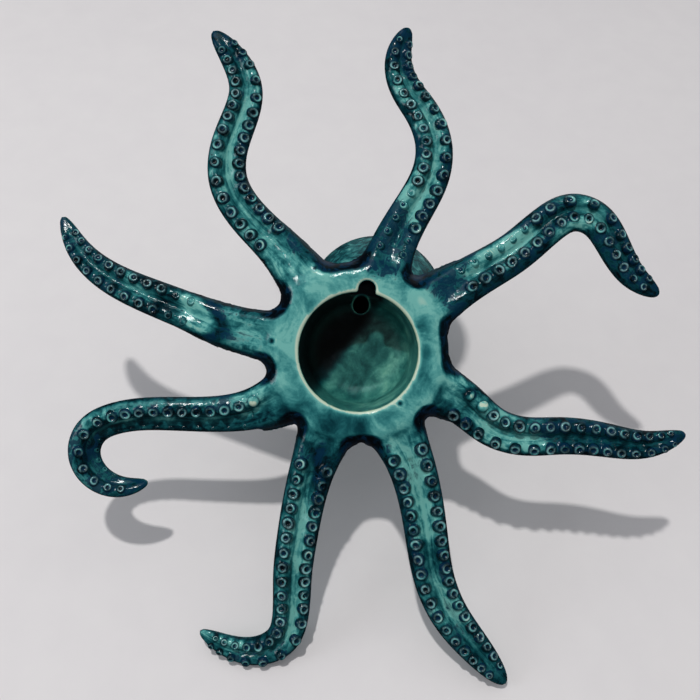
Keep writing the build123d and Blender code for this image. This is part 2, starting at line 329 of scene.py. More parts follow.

# Bowl: a painted shadow across its upper left and painted light on its lower right: the shadow's edge by its
# direction and a point as (x, z), where the painted shadow and the palest painted light start and are whole,
# how pale the bowl is outside the shadow, and how much paler the painted light makes it
BOWL_SHADOW_WAY = (0.802, 0.597)
BOWL_SHADOW_LINE = (6.5, -3.6)
BOWL_SHADOW_EDGE = (-1.0, 5.0)
BOWL_LIT_EDGE = (-8.0, -22.0)
BOWL_PALE = 0.67
BOWL_LIT_PALE = 0.08

# Insides of the bowl, the notch and the vent, where painted shade and painted light are laid on the glaze:
# how far past their walls they are painted, and their heights
BOWL_SKIN = 0.9
BOWL_SIDE = 0.6
BOWL_LEVELS = (-32, -0.7)
NOTCH_SKIN = 0.8
NOTCH_SIDE = 0.5
NOTCH_LEVELS = (-13, -1.0)
VENT_SKIN = 0.3
VENT_LEVELS = (-40, -15)

# Bared lips of the opening, the notch and the vent: how far outside the edge and how wide
LIP_LEVEL = -0.35
LIP_OUT = 0.25
LIP_SPREAD = 0.95
NOTCH_LIP_OUT = 0.15
NOTCH_LIP_SPREAD = 0.8
NOTCH_LIP_EDGE = 0.4
NOTCH_LIP_START = 1.5
VENT_LIP_SHARE = 0.8
VENT_LIP_OUT = 0.35
VENT_LIP_SPREAD = 0.45
VENT_LIP_LEVELS = (-32, -10)

# How mottled the glaze is on the head, and what the arms, navy glaze and the front add
HEAD_MOTTLE = 0.09
ARM_MOTTLE = 0.24
GROOVE_CALM = 0.6
NAVY_MOTTLE = 0.45
FRONT_MOTTLE = 0.20
BOWL_MOTTLE = 0.10
FOOT_STROKE_LOSS = 0.5
STROKE_SHIFT = 37.0


def smooth_min(a, b, reach):
    """The smaller of two distances, with the corner between them filled over a reach."""
    overlap = np.maximum(reach - np.abs(a - b), 0.0)
    return np.minimum(a, b) - overlap * overlap * (0.25 / reach)


def smooth_max(a, b, reach):
    """The larger of two distances, with the edge between them rounded over a reach."""
    return -smooth_min(-a, -b, reach)


def step_up(low, high, value):
    """Soft step from 0 at low to 1 at high, in either order."""
    share = np.clip((value - low) / (high - low), 0.0, 1.0)
    return share * share * (3.0 - 2.0 * share)


def unit(vectors):
    """Vectors along the last axis at length one."""
    return vectors / np.linalg.norm(vectors, axis=-1, keepdims=True)


def run_along(points):
    """Distance of each point from the first, along the line through them."""
    return np.concatenate([[0], np.cumsum(np.linalg.norm(np.diff(points, axis=0), axis=1))])


def rowwise(first, second):
    """Dot product of each row of one list with the same row of another."""
    return np.einsum("ij,ij->i", first, second)


def away_from(place, x, z):
    """Distance from a place given as (x, z), seen along Y."""
    return np.hypot(x - place[0], z - place[1])


def cubic(knots, values, places):
    """Natural cubic spline through values at knots, read at places."""
    count = len(knots)
    gap = np.diff(knots)
    slope = np.diff(values, axis=0) / gap[:, None]
    matrix = np.eye(count)
    right = np.zeros_like(values)
    for i in range(1, count - 1):
        matrix[i, i - 1:i + 2] = gap[i - 1], 2 * (gap[i - 1] + gap[i]), gap[i]
        right[i] = 6 * (slope[i] - slope[i - 1])
    bend = np.linalg.solve(matrix, right)
    i = np.clip(np.searchsorted(knots, places) - 1, 0, count - 2)
    width = gap[i][:, None]
    left = (places - knots[i])[:, None]
    rest = width - left
    curve = (bend[i] * rest**3 + bend[i + 1] * left**3) / (6 * width)
    line = (values[i] / width - bend[i] * width / 6) * rest
    return curve + line + (values[i + 1] / width - bend[i + 1] * width / 6) * left


def section_radius(corners):
    """Angles round a section of the arm, its radius at each in half widths, and the slant of the outline."""
    outline = np.array(corners) - (0.0, SECTION_MIDDLE)
    angle = np.arctan2(outline[:, 1], outline[:, 0])
    order = np.argsort(angle)
    angle = angle[order]
    radius = np.hypot(*outline.T)[order]
    turn = 2 * math.pi
    around = np.concatenate([angle - turn, angle, angle + turn])
    places = np.linspace(-math.pi, math.pi, SECTION_PLACES)
    table = cubic(around, np.tile(radius, 3)[:, None], places)[:, 0]
    slant = np.gradient(table, places) / table
    return places, table, 1.0 / np.sqrt(1.0 + slant**2)


SECTION_TABLE = section_radius(SECTION)
TIP_TABLE = section_radius(TIP_SECTION)


class Arm:
    """Centre line, frames and half widths of one arm, at even steps from its root to its tip."""

    def __init__(self, width_share, root_lean, tip_lean, first_sucker, row_offset, pitch, bluntness, points):
        first = np.array(points[0], float) * (1, 0, 1)
        root = unit(first) * ARM_ROOT_RADIUS - (0, ARM_ROOT_DEPTH, 0)
        nodes = np.vstack([root, points])
        knots = run_along(nodes)
        fine = cubic(knots, nodes, np.linspace(0, knots[-1], ARM_SAMPLES))
        run = run_along(fine)
        self.length = run[-1]
        self.first_sucker = first_sucker
        self.row_offset = row_offset
        self.pitch = pitch
        self.count = int(self.length / ARM_STEP) + 1
        self.along = np.linspace(0, self.length, self.count)
        self.gap = self.along[1]
        self.centre = np.stack([np.interp(self.along, run, fine[:, axis]) for axis in range(3)], 1)
        self.heading = unit(np.gradient(self.centre, axis=0))
        settled = 1 - np.exp(-((self.along / ARM_LEAN_LENGTH) ** 2))
        lean = np.radians(settled * (root_lean + (tip_lean - root_lean) * self.along / self.length))[:, None]
        level = unit(np.cross((0.0, 1.0, 0.0), self.heading))
        self.across = level * np.cos(lean) + np.cross(self.heading, level) * np.sin(lean)
        self.up = np.cross(self.heading, self.across)
        share = self.along / self.length
        body = ARM_HALF_WIDTH * width_share * (1 - ARM_TAPER * share)
        flare = ARM_ROOT_FLARE * np.exp(-((self.along / ARM_FLARE_LENGTH / 2) ** 2))
        self.half = (body + flare) * np.sqrt(1 - share**bluntness)

    def at(self, distance, values):
        """A list kept along the arm, read at distances from the root."""
        if values.ndim == 1:
            return np.interp(distance, self.along, values)
        return np.stack([np.interp(distance, self.along, values[:, axis]) for axis in range(3)], -1)

    def local(self, points, nearest):
        """Distance to the arm's surface, distance along it, and the place across and up in half widths."""
        ahead = rowwise(points - self.centre[nearest], self.heading[nearest])
        along = np.clip(self.along[nearest] + ahead, 0, self.length)
        place = along / self.gap
        before = np.minimum(place.astype(int), self.count - 2)
        share = (place - before)[:, None]

        def read(values):
            return values[before] * (1 - share) + values[before + 1] * share

        offset = points - read(self.centre)
        half = read(self.half[:, None])[:, 0]
        across = rowwise(offset, read(self.across))
        up = rowwise(offset, read(self.up))
        past = rowwise(offset, read(self.heading))
        lifted = up - SECTION_MIDDLE * half
        angle = np.arctan2(lifted, across)
        rounded = step_up(TIP_START, 1.0, along / self.length)
        radius, slant = [
            np.interp(angle, SECTION_TABLE[0], SECTION_TABLE[column]) * (1 - rounded)
            + np.interp(angle, TIP_TABLE[0], TIP_TABLE[column]) * rounded
            for column in (1, 2)
        ]
        gap = (np.hypot(across, lifted) - radius * half) * slant
        gap = np.where(along >= self.length, np.hypot(np.maximum(gap, 0), past), gap)
        over = points[:, 1] - self.fill_level(along)
        side = np.abs(across) - FILL_WIDTH * half + FILL_SLOPE * np.minimum(over, 0.0)
        fill = smooth_max(side / math.hypot(1.0, FILL_SLOPE), over, FILL_ROUNDING)
        gap = smooth_min(gap, np.maximum(fill, -up - FILL_DEPTH * half), FILL_ROUNDING)
        floor = np.maximum(half, 1.0)
        return gap, along, across / floor, up / floor

    def fill_level(self, along):
        """Height of the clay that fills the groove at the root, from the head's face down to the suckers."""
        end = self.first_sucker + FILL_OVERRUN
        groove = self.at(end, self.centre)[1] + GROOVE_HEIGHT * self.at(end, self.half)
        places = (FILL_START, end, end + FILL_ENDING)
        return np.interp(along, places, (-FILL_STEP, groove - FILL_STEP, groove - FAR))

    def seats(self):
        """Distance along, side, half width and diameter of each sucker, in two rows that shrink."""
        places = []
        distance = self.first_sucker
        while distance < SUCKER_END * self.length:
            half = float(self.at(distance, self.half))
            shrunk = SUCKER_DIAMETER * (half / ARM_HALF_WIDTH) ** SUCKER_SHRINK
            diameter = min(shrunk, SUCKER_LARGEST_SHARE * half)
            for side in (-1, 1):
                places.append((distance, side, half, diameter))
            reach = BEND_STEP * self.length
            before = unit(self.at(max(distance - reach, 0), self.heading))
            after = unit(self.at(min(distance + reach, self.length), self.heading))
            bend = math.acos(min(float(before @ after), 1.0)) / (2 * reach)
            distance += self.pitch * diameter * (1 + self.row_offset * half * bend)
        return places


def oval(start, end, count=40):
    """Points of a quarter oval that leaves start down its own side and comes level into end."""
    turns = np.linspace(0, math.pi / 2, count)
    radii = end[0] + (start[0] - end[0]) * np.cos(turns)
    return list(zip(radii, start[1] + (end[1] - start[1]) * np.sin(turns)))


def head_outline():
    """Half outline of the head's outside, as (radius, y)."""
    widest = (HUB_RADIUS, -HUB_SHOULDER)
    shoulder = oval(widest, (RIM_RADIUS, 0.0), SHOULDER_POINTS)[::-1]
    return [(0.0, 0.0)] + shoulder + oval(widest, (0.0, -HEAD_DEPTH))[1:]


def bowl_outline():
    """Half outline of the hollow behind the opening, as (radius, y), run out past the rim."""
    corner = (BOWL_RADIUS, BOWL_CORNER - BOWL_DEPTH)
    floor = (BOWL_RADIUS - BOWL_CORNER, -BOWL_DEPTH)
    mouth = [(0.0, MOUTH_OVERRUN), (OPENING_RADIUS, MOUTH_OVERRUN), (OPENING_RADIUS, -OPENING_LAND)]
    return mouth + oval(corner, floor) + [(0.0, -BOWL_DEPTH)]


def mantle_outline():
    """Half outline of the mantle, as (radius, distance forward of the middle of the sack)."""
    behind = np.linalg.norm(SACK_MIDDLE - HEAD_MIDDLE)
    knots = np.array([-behind - MANTLE_LEAD, -behind, -NECK_BEHIND, 0.0, MANTLE_LEAD])
    radii = np.array([COLLAR_RADIUS, COLLAR_RADIUS, NECK_RADIUS, SACK_RADIUS, SACK_RADIUS])
    places = np.linspace(-behind, 0.0, MANTLE_POINTS)
    side = list(zip(cubic(knots, radii[:, None], places)[:, 0], places))
    return [(0.0, -behind)] + side + oval((SACK_RADIUS, 0.0), (0.0, SACK_FRONT))[1:]


class Turned:
    """Signed distance to a turned form, kept as a table over radius and level."""

    CELL = 0.5
    MARGIN = 30.0
    LAST_CELL = 1.001

    def __init__(self, outline):
        corners = np.array(outline)
        self.low = corners[:, 1].min() - self.MARGIN
        radii = np.arange(0, corners[:, 0].max() + 2 * self.MARGIN, self.CELL)[:, None]
        levels = np.arange(self.low, corners[:, 1].max() + self.MARGIN, self.CELL)[None]
        best = np.full((radii.size, levels.size), UNREACHED)
        inside = np.zeros(best.shape, bool)
        for start, end in zip(corners, np.roll(corners, -1, axis=0)):
            run = end - start
            if run[1] != 0.0:
                spans = (levels >= min(start[1], end[1])) & (levels < max(start[1], end[1]))
                inside ^= spans & (radii < start[0] + run[0] * (levels - start[1]) / run[1])
            if start[0] == 0.0 and end[0] == 0.0:
                continue
            share = ((radii - start[0]) * run[0] + (levels - start[1]) * run[1]) / (run @ run)
            share = np.clip(share, 0, 1)
            across = radii - start[0] - share * run[0]
            upright = levels - start[1] - share * run[1]
            best = np.minimum(best, across * across + upright * upright)
        self.table = (np.where(inside, -1.0, 1.0) * np.sqrt(best)).astype(np.float32)

    def distance(self, radius, level):
        """Distance read between the cells of the table."""
        row = np.clip(radius / self.CELL, 0, self.table.shape[0] - self.LAST_CELL)
        column = np.clip((level - self.low) / self.CELL, 0, self.table.shape[1] - self.LAST_CELL)
        i = row.astype(np.int32)
        j = column.astype(np.int32)
        a = (row - i).astype(np.float32)
        b = (column - j).astype(np.float32)
        near = self.table[i, j] * (1 - b) + self.table[i, j + 1] * b
        far = self.table[i + 1, j] * (1 - b) + self.table[i + 1, j + 1] * b
        return near * (1 - a) + far * a

    def about_y(self, x, y, z):
        """Distance to the form turned about the Y axis."""
        return self.distance(np.hypot(x, z), y)


HEAD = Turned(head_outline())
BOWL = Turned(bowl_outline())
MANTLE = Turned(mantle_outline())
MANTLE_FORWARD = unit(SACK_MIDDLE - HEAD_MIDDLE)
MANTLE_SIDE = unit(np.array([1.0, 0.0, 0.0]) - MANTLE_FORWARD[0] * MANTLE_FORWARD)
MANTLE_UP = np.cross(MANTLE_FORWARD, MANTLE_SIDE)


def mantle_distance(x, y, z):
    """Signed distance to the mantle's outside."""
    from_sack = [x - SACK_MIDDLE[0], y - SACK_MIDDLE[1], z - SACK_MIDDLE[2]]
    forward = sum(part * way for part, way in zip(from_sack, MANTLE_FORWARD))
    square = sum(part * part for part in from_sack) - forward * forward
    return MANTLE.distance(np.sqrt(np.maximum(square, 0.0)), forward)


def drilled(x, y, z, place, radius, near, far):
    """Signed distance to a round hole along Y between two heights."""
    wall = away_from(place, x, z) - radius
    return np.maximum(wall, np.maximum(far - y, y - near))


class Block:
    """A box of lattice points with the clay's signed distance at each."""

    def __init__(self, low, high):
        self.low = np.floor(np.array(low) / STEP).astype(int)
        self.high = np.ceil(np.array(high) / STEP).astype(int)
        self.field = np.full(self.high - self.low + 1, FAR, np.float32)

    def window(self, low, high):
        """Slices of the block between two corners, and the lattice coordinates there."""
        first = np.clip(np.floor(np.array(low) / STEP).astype(int), self.low, self.high + 1)
        last = np.clip(np.ceil(np.array(high) / STEP).astype(int) + 1, self.low, self.high + 1)
        slices = tuple(slice(a - o, b - o) for a, b, o in zip(first, last, self.low))
        axes = [np.arange(a, b) * STEP for a, b in zip(first, last)]
        return slices, np.meshgrid(*axes, indexing="ij", sparse=True)

    def add_arm(self, arm):
        """Joins one arm to the clay."""
        slices, axes = self.window(arm.centre.min(0) - ARM_REACH, arm.centre.max(0) + ARM_REACH)
        shape = self.field[slices].shape
        if 0 in shape:
            return
        best = np.full(shape, UNREACHED, np.float32)
        nearest = np.zeros(shape, np.int32)
        edges = [axis.ravel() for axis in axes]
        for number, centre in enumerate(arm.centre):
            near = tuple(
                slice(*np.searchsorted(edge, (middle - ARM_REACH, middle + ARM_REACH)))
                for edge, middle in zip(edges, centre)
            )
            square = [(edge[part] - middle) ** 2 for edge, part, middle in zip(edges, near, centre)]
            gap = (square[0][:, None, None] + square[1][:, None] + square[2]).astype(np.float32)
            closer = gap < best[near]
            best[near][closer] = gap[closer]
            nearest[near][closer] = number
        spots = np.argwhere(best < ARM_REACH**2)
        points = np.stack([edge[spots[:, axis]] for axis, edge in enumerate(edges)], 1)
        gap = arm.local(points, nearest[tuple(spots.T)])[0]
        part = self.field[slices]
        part[tuple(spots.T)] = smooth_min(part[tuple(spots.T)], gap, ARM_WEB)

    def add_turned(self, distance, low, high, web):
        """Joins a turned form to the clay, with a web where they meet."""
        slices, axes = self.window(low, high)
        if 0 not in self.field[slices].shape:
            self.field[slices] = smooth_min(self.field[slices], distance(*axes), web)

    def hollow_out(self):
        """Levels the rim, and cuts the bowl, the screw's seat, the vent and the inside of the mantle."""
        slices, (x, y, z) = self.window(*HOLLOW_REACH)
        clay = smooth_max(self.field[slices], y, FACE_ROUNDING)
        seat = np.minimum(
            drilled(x, y, z, NOTCH_PLACE, NOTCH_RADIUS, MOUTH_OVERRUN, -POCKET_DEPTH),
            drilled(x, y, z, NOTCH_PLACE, POCKET_RADIUS, -OPENING_LAND, -POCKET_DEPTH),
        )
        opening = smooth_min(BOWL.about_y(x, y, z), seat, EDGE_ROUNDING)
        inside = np.maximum(mantle_distance(x, y, z) + CLAY_WALL, -HEAD.about_y(x, y, z))
        vent = drilled(x, y, z, VENT_PLACE, VENT_RADIUS, -HUB_SHOULDER, -HEAD_DEPTH - CLAY_WALL)
        opening = smooth_min(opening, vent, VENT_ROUNDING)
        clay = smooth_max(clay, -opening, EDGE_ROUNDING)
        self.field[slices] = np.maximum(clay, -inside)

    def surface(self):
        """Cells the surface passes through, a point in each, and the four cells round each crossed edge."""
        field = self.field
        inside = field < 0
        sides = [(a, b, c) for a in (0, 1) for b in (0, 1) for c in (0, 1)]
        corners = [
            inside[a:a + inside.shape[0] - 1, b:b + inside.shape[1] - 1, c:c + inside.shape[2] - 1]
            for a, b, c in sides
        ]
        count = sum(corner.astype(np.uint8) for corner in corners)
        cells = np.argwhere((count > 0) & (count < 8))
        values = [field[tuple((cells + side).T)] for side in sides]
        total = np.zeros(cells.shape)
        hits = np.zeros(len(cells))
        for first, start in enumerate(sides):
            for second, end in enumerate(sides):
                run = np.subtract(end, start)
                if run.sum() != 1 or np.abs(run).sum() != 1:
                    continue
                crossed = (values[first] < 0) != (values[second] < 0)
                share = np.where(crossed, values[first] / (values[first] - values[second] + TINY), 0.0)
                total += crossed[:, None] * (np.array(start) + share[:, None] * run)
                hits += crossed
        points = (cells + self.low + total / hits[:, None]) * STEP
        quads = []
        for axis in range(3):
            steps = np.eye(3, dtype=int)
            along, second, third = steps[axis], steps[(axis + 1) % 3], steps[(axis + 2) % 3]
            behind = np.take(inside, range(inside.shape[axis] - 1), axis)
            ahead = np.take(inside, range(1, inside.shape[axis]), axis)
            edges = np.argwhere(behind != ahead)
            room = np.array(field.shape) - 2
            fits = np.all((edges - second - third >= 0) & (edges <= room), axis=1)
            edges = edges[fits]
            ring = np.stack([edges - second - third, edges - third, edges, edges - second], 1)
            outward = behind[tuple(edges.T)]
            ring[~outward] = ring[~outward][:, ::-1]
            keys = lattice_id(edges + self.low) * 3 + axis
            quads.append((keys, lattice_id(ring + self.low)))
        keys = np.concatenate([key for key, _ in quads])
        rings = np.concatenate([ring for _, ring in quads])
        return lattice_id(cells + self.low), points, keys, rings


def lattice_id(places):
    """One whole number for each lattice place."""
    shifted = places + LATTICE_SPAN // 2
    return (shifted[..., 0] * LATTICE_SPAN + shifted[..., 1]) * LATTICE_SPAN + shifted[..., 2]


def average(values, links):
    """Mean of each point's neighbours."""
    starts, ends = links
    totals = [np.bincount(starts, column[ends], len(values)) for column in values.T]
    return np.stack(totals, 1) / np.bincount(starts, minlength=len(values))[:, None]


def clay_body(arms):
    """Points and quads of the whole clay body, joined, hollowed and smoothed, and its pairs of neighbours."""
    reach = np.concatenate([arm.centre for arm in arms])
    low = reach.min(0) - ARM_BLOCK_MARGIN
    high = reach.max(0) + ARM_BLOCK_MARGIN
    low[1], high[1] = ARM_BLOCK_LEVELS
    surfaces = []
    for block in (Block(low, high), Block(*MANTLE_BLOCK)):
        for arm in arms:
            block.add_arm(arm)
        block.add_turned(HEAD.about_y, *HEAD_REACH, HEAD_WEB)
        block.add_turned(mantle_distance, *MANTLE_REACH, NECK_WEB)
        block.hollow_out()
        surfaces.append(block.surface())
    cells, places, keys, rings = [np.concatenate(part) for part in zip(*surfaces)]
    ids, first = np.unique(cells, return_index=True)
    rings = rings[np.unique(keys, return_index=True)[1]]
    quads = np.searchsorted(ids, rings)
    sound = (ids[np.minimum(quads, len(ids) - 1)] == rings).all(1)
    used, quads = np.unique(quads[sound], return_inverse=True)
    points = places[first][used]
    quads = quads.reshape(-1, 4)
    links = neighbours(quads)
    for _ in range(SMOOTHING_ROUNDS):
        for pull in SMOOTHING_PULLS:
            points = points + pull * (average(points, links) - points)
    return points, quads, links


def neighbours(quads):
    """Pairs of points that share a side of a quad, both ways."""
    starts = quads.ravel()
    ends = np.roll(quads, -1, axis=1).ravel()
    return np.concatenate([starts, ends]), np.concatenate([ends, starts])


def mesh_object(name, points, faces, attributes, material):
    """Smooth mesh object from points in millimetres and face lists, with numbers for each point."""
    mesh = bpy.data.meshes.new(name)
    corners = np.concatenate([part.ravel() for part in faces]).astype(np.int32)
    sides = np.concatenate([np.full(len(part), part.shape[1]) for part in faces])
    starts = np.concatenate([[0], np.cumsum(sides)[:-1]]).astype(np.int32)
    mesh.vertices.add(len(points))
    mesh.vertices.foreach_set("co", (points * MM).astype(np.float32).ravel())
    mesh.loops.add(len(corners))
    mesh.loops.foreach_set("vertex_index", corners)
    mesh.polygons.add(len(starts))
    mesh.polygons.foreach_set("loop_start", starts)
    mesh.update(calc_edges=True)
    mesh.validate()
    mesh.polygons.foreach_set("use_smooth", np.ones(len(starts), bool))
    for key, values in attributes.items():
        layer = mesh.attributes.new(key, "FLOAT", "POINT")
        layer.data.foreach_set("value", np.asarray(values, np.float32))
    mesh.materials.append(material)
    piece = bpy.data.objects.new(name, mesh)
    bpy.context.scene.collection.objects.link(piece)
    return piece


def lathe_faces(rings, turns, base=0):
    """Quads between the rings of a turned piece, and the triangles that close it at its last point."""
    column = np.arange(turns)
    after = (column + 1) % turns
    quads = []
    for row in range(rings - 1):
        low = base + row * turns
        quads.append(np.stack([low + column, low + after, low + turns + after, low + turns + column], 1))
    last = base + (rings - 1) * turns
    tip = np.full(turns, base + rings * turns)
    return np.vstack(quads), np.stack([last + column, last + after, tip], 1)


def lathe_points(middle, radius, height, turns, sideways, heading, outward):
    """Points of the rings of a turned piece, given how far out and how high each ring is."""
    ways = np.cos(turns)[:, None] * sideways + np.sin(turns)[:, None] * heading
    return (middle + radius[..., None] * ways + height[..., None] * outward).reshape(-1, 3)


def even_turns(count):
    """Angles of a ring's points."""
    return np.arange(count) * 2 * math.pi / count


def point_normals(points, quads):
    """Outward direction at each point."""
    diagonals = points[quads[:, 2]] - points[quads[:, 0]], points[quads[:, 3]] - points[quads[:, 1]]
    across = np.cross(*diagonals)
    total = np.zeros(points.shape)
    for corner in range(4):
        for axis in range(3):
            total[:, axis] += np.bincount(quads[:, corner], across[:, axis], len(points))
    return unit(total + TINY)


def nearest_arm(points, arms):
    """For each point: arm number, distance to it, distance along, and place across and up."""
    number = np.zeros(len(points), int)
    found = np.zeros((4, len(points)))
    found[0] = FAR
    for index, arm in enumerate(arms, start=1):
        inside = (points > arm.centre.min(0) - ARM_REACH) & (points < arm.centre.max(0) + ARM_REACH)
        close = np.flatnonzero(inside.all(1))
        for chunk in np.array_split(close, max(len(close) // CHUNK, 1)):
            spread = points[chunk][:, None] - arm.centre[None]
            nearest = np.argmin((spread * spread).sum(2), axis=1)
            local = np.array(arm.local(points[chunk], nearest))
            better = local[0] < found[0, chunk]
            number[chunk[better]] = index
            found[:, chunk[better]] = local[:, better]
    return number, *found


def ring_distance(points, place, radius, level):
    """Distance to a circle that lies square to Y."""
    outward = away_from(place, points[:, 0], points[:, 2]) - radius
    return np.hypot(outward, points[:, 1] - level)


def glow(distance, width):
    """Bell curve of a distance."""
    return np.exp(-((distance / width) ** 2))


def between(low, high, edge, value):
    """1 between two places, falling to 0 over an edge at each."""
    return step_up(low - edge, low + edge, value) * step_up(high + edge, high - edge, value)


def within(levels, value):
    """True between a lowest and a highest value."""
    return (value > levels[0]) & (value < levels[1])


def toward(first, second, share):
    """A value moved from first to second by a share."""
    return first + (second - first) * share


def patch_glaze(number, along, across):
    """How much paler and how much more navy the patches make an arm at each place on it."""
    paler = np.zeros(np.shape(along))
    bluer = np.zeros(np.shape(along))
    ends = along + PATCH_END_WAVER * np.sin(PATCH_END_WAVES * across + PATCH_ARM_SHIFT * number)
    sides = across + PATCH_SIDE_WAVER * np.sin(PATCH_SIDE_WAVES * along + number)
    for arm_number, patches in PATCHES.items():
        for start, end, right, left, pale, navy in patches:
            zone = between(start, end, PATCH_END_EDGE, ends) * between(right, left, PATCH_SIDE_EDGE, sides)
            zone = zone * (number == arm_number)
            paler = paler + pale * zone
            bluer = bluer + PATCH_NAVY * navy * zone
    return paler, bluer


def head_glaze(x, z):
    """How much paler and how much more navy the patches make the head's face at each place on it."""
    paler = np.zeros(np.shape(x))
    bluer = np.zeros(np.shape(x))
    for across, height, reach, pale, navy in HEAD_PATCHES:
        share = glow(away_from((across, height), x, z), reach)
        paler = paler + pale * share
        bluer = bluer + navy * share
    return paler, bluer


def sucker_nearness(points, number, gap, seats):
    """1 under a sucker, falling to 0 just outside it."""
    near = np.zeros(len(points))
    for arm_number, (centres, sizes) in seats.items():
        mine = np.flatnonzero((number == arm_number) & (gap < SWELL_REACH))
        spread = np.linalg.norm(points[mine][:, None] - centres[None], axis=2) / sizes[None]
        near[mine] = step_up(*SWELL_ZONE, spread.min(1))
    return near


def bowl_painted_shadow_and_light(x, z):
    """How pale the bowl is painted: a painted shadow darkens its upper left and painted light brightens its
    lower right.
    """
    across = BOWL_SHADOW_WAY[0] * (x - BOWL_SHADOW_LINE[0]) + BOWL_SHADOW_WAY[1] * (z - BOWL_SHADOW_LINE[1])
    return BOWL_PALE * (1 - step_up(*BOWL_SHADOW_EDGE, across)) + BOWL_LIT_PALE * step_up(*BOWL_LIT_EDGE, across)


def arm_glaze(number, along, across, arms, groove, near):
    """How pale and how navy the skin of the arms is."""
    length = np.array([1.0] + [arm.length for arm in arms])[number]
    tip = step_up(*TIP_ZONE, along / length)
    paler, bluer = patch_glaze(number, along, across)
    pale = np.minimum(ARM_GLAZE[0] + GROOVE_GLAZE[0] * groove + PATCH_PALE * paler, ARM_PALEST)
    pale = pale + FOOT_POOL_AND_SHADE[0] * near + TIP_GLAZE[0] * tip
    navy = ARM_GLAZE[1] + GROOVE_GLAZE[1] * groove + bluer + FOOT_POOL_AND_SHADE[1] * near + TIP_GLAZE[1] * tip
    return pale, navy


def pooling(points, normals, links):
    """How much paler the bend of the skin makes the glaze, below 0 in hollows."""
    curve = ((average(points, links) - points) * normals).sum(1, keepdims=True) / STEP**2
    for _ in range(POOL_ROUNDS):
        curve = average(curve, links)
    return -curve[:, 0] * POOL_SHARE


def stilt_marks(x, y, z, facing):
    """How much paler the kiln's stilt marks make the head's face."""
    paler = np.zeros(len(x))
    for mark in STILT_MARKS:
        away = away_from(mark, x, z)
        paler += STILT_RING_PALE * glow(away - STILT_RING, STILT_RING_WIDTH)
        paler += STILT_DOT_PALE * glow(away, STILT_DOT)
    return paler * ((facing > 0.5) & (y > STILT_LEVEL))


def bared_lips(points, radius, bowl_gap, notch_gap, vent_gap):
    """1 on the lips of the opening, the notch and the vent, where the glaze has run off."""
    rim = glow(ring_distance(points, (0, 0), OPENING_RADIUS + LIP_OUT, LIP_LEVEL), LIP_SPREAD)
    rim *= step_up(NOTCH_RADIUS - NOTCH_LIP_EDGE, NOTCH_RADIUS + NOTCH_LIP_EDGE, notch_gap)
    notch = ring_distance(points, NOTCH_PLACE, NOTCH_RADIUS + NOTCH_LIP_OUT, LIP_LEVEL)
    notch = glow(notch, NOTCH_LIP_SPREAD) * step_up(OPENING_RADIUS - NOTCH_LIP_START, OPENING_RADIUS, radius)
    vent = VENT_LIP_SHARE * glow(vent_gap - VENT_LIP_OUT, VENT_LIP_SPREAD) * glow(bowl_gap, 1.0)
    return np.clip(rim + notch + vent * within(VENT_LIP_LEVELS, points[:, 1]), 0, 1)


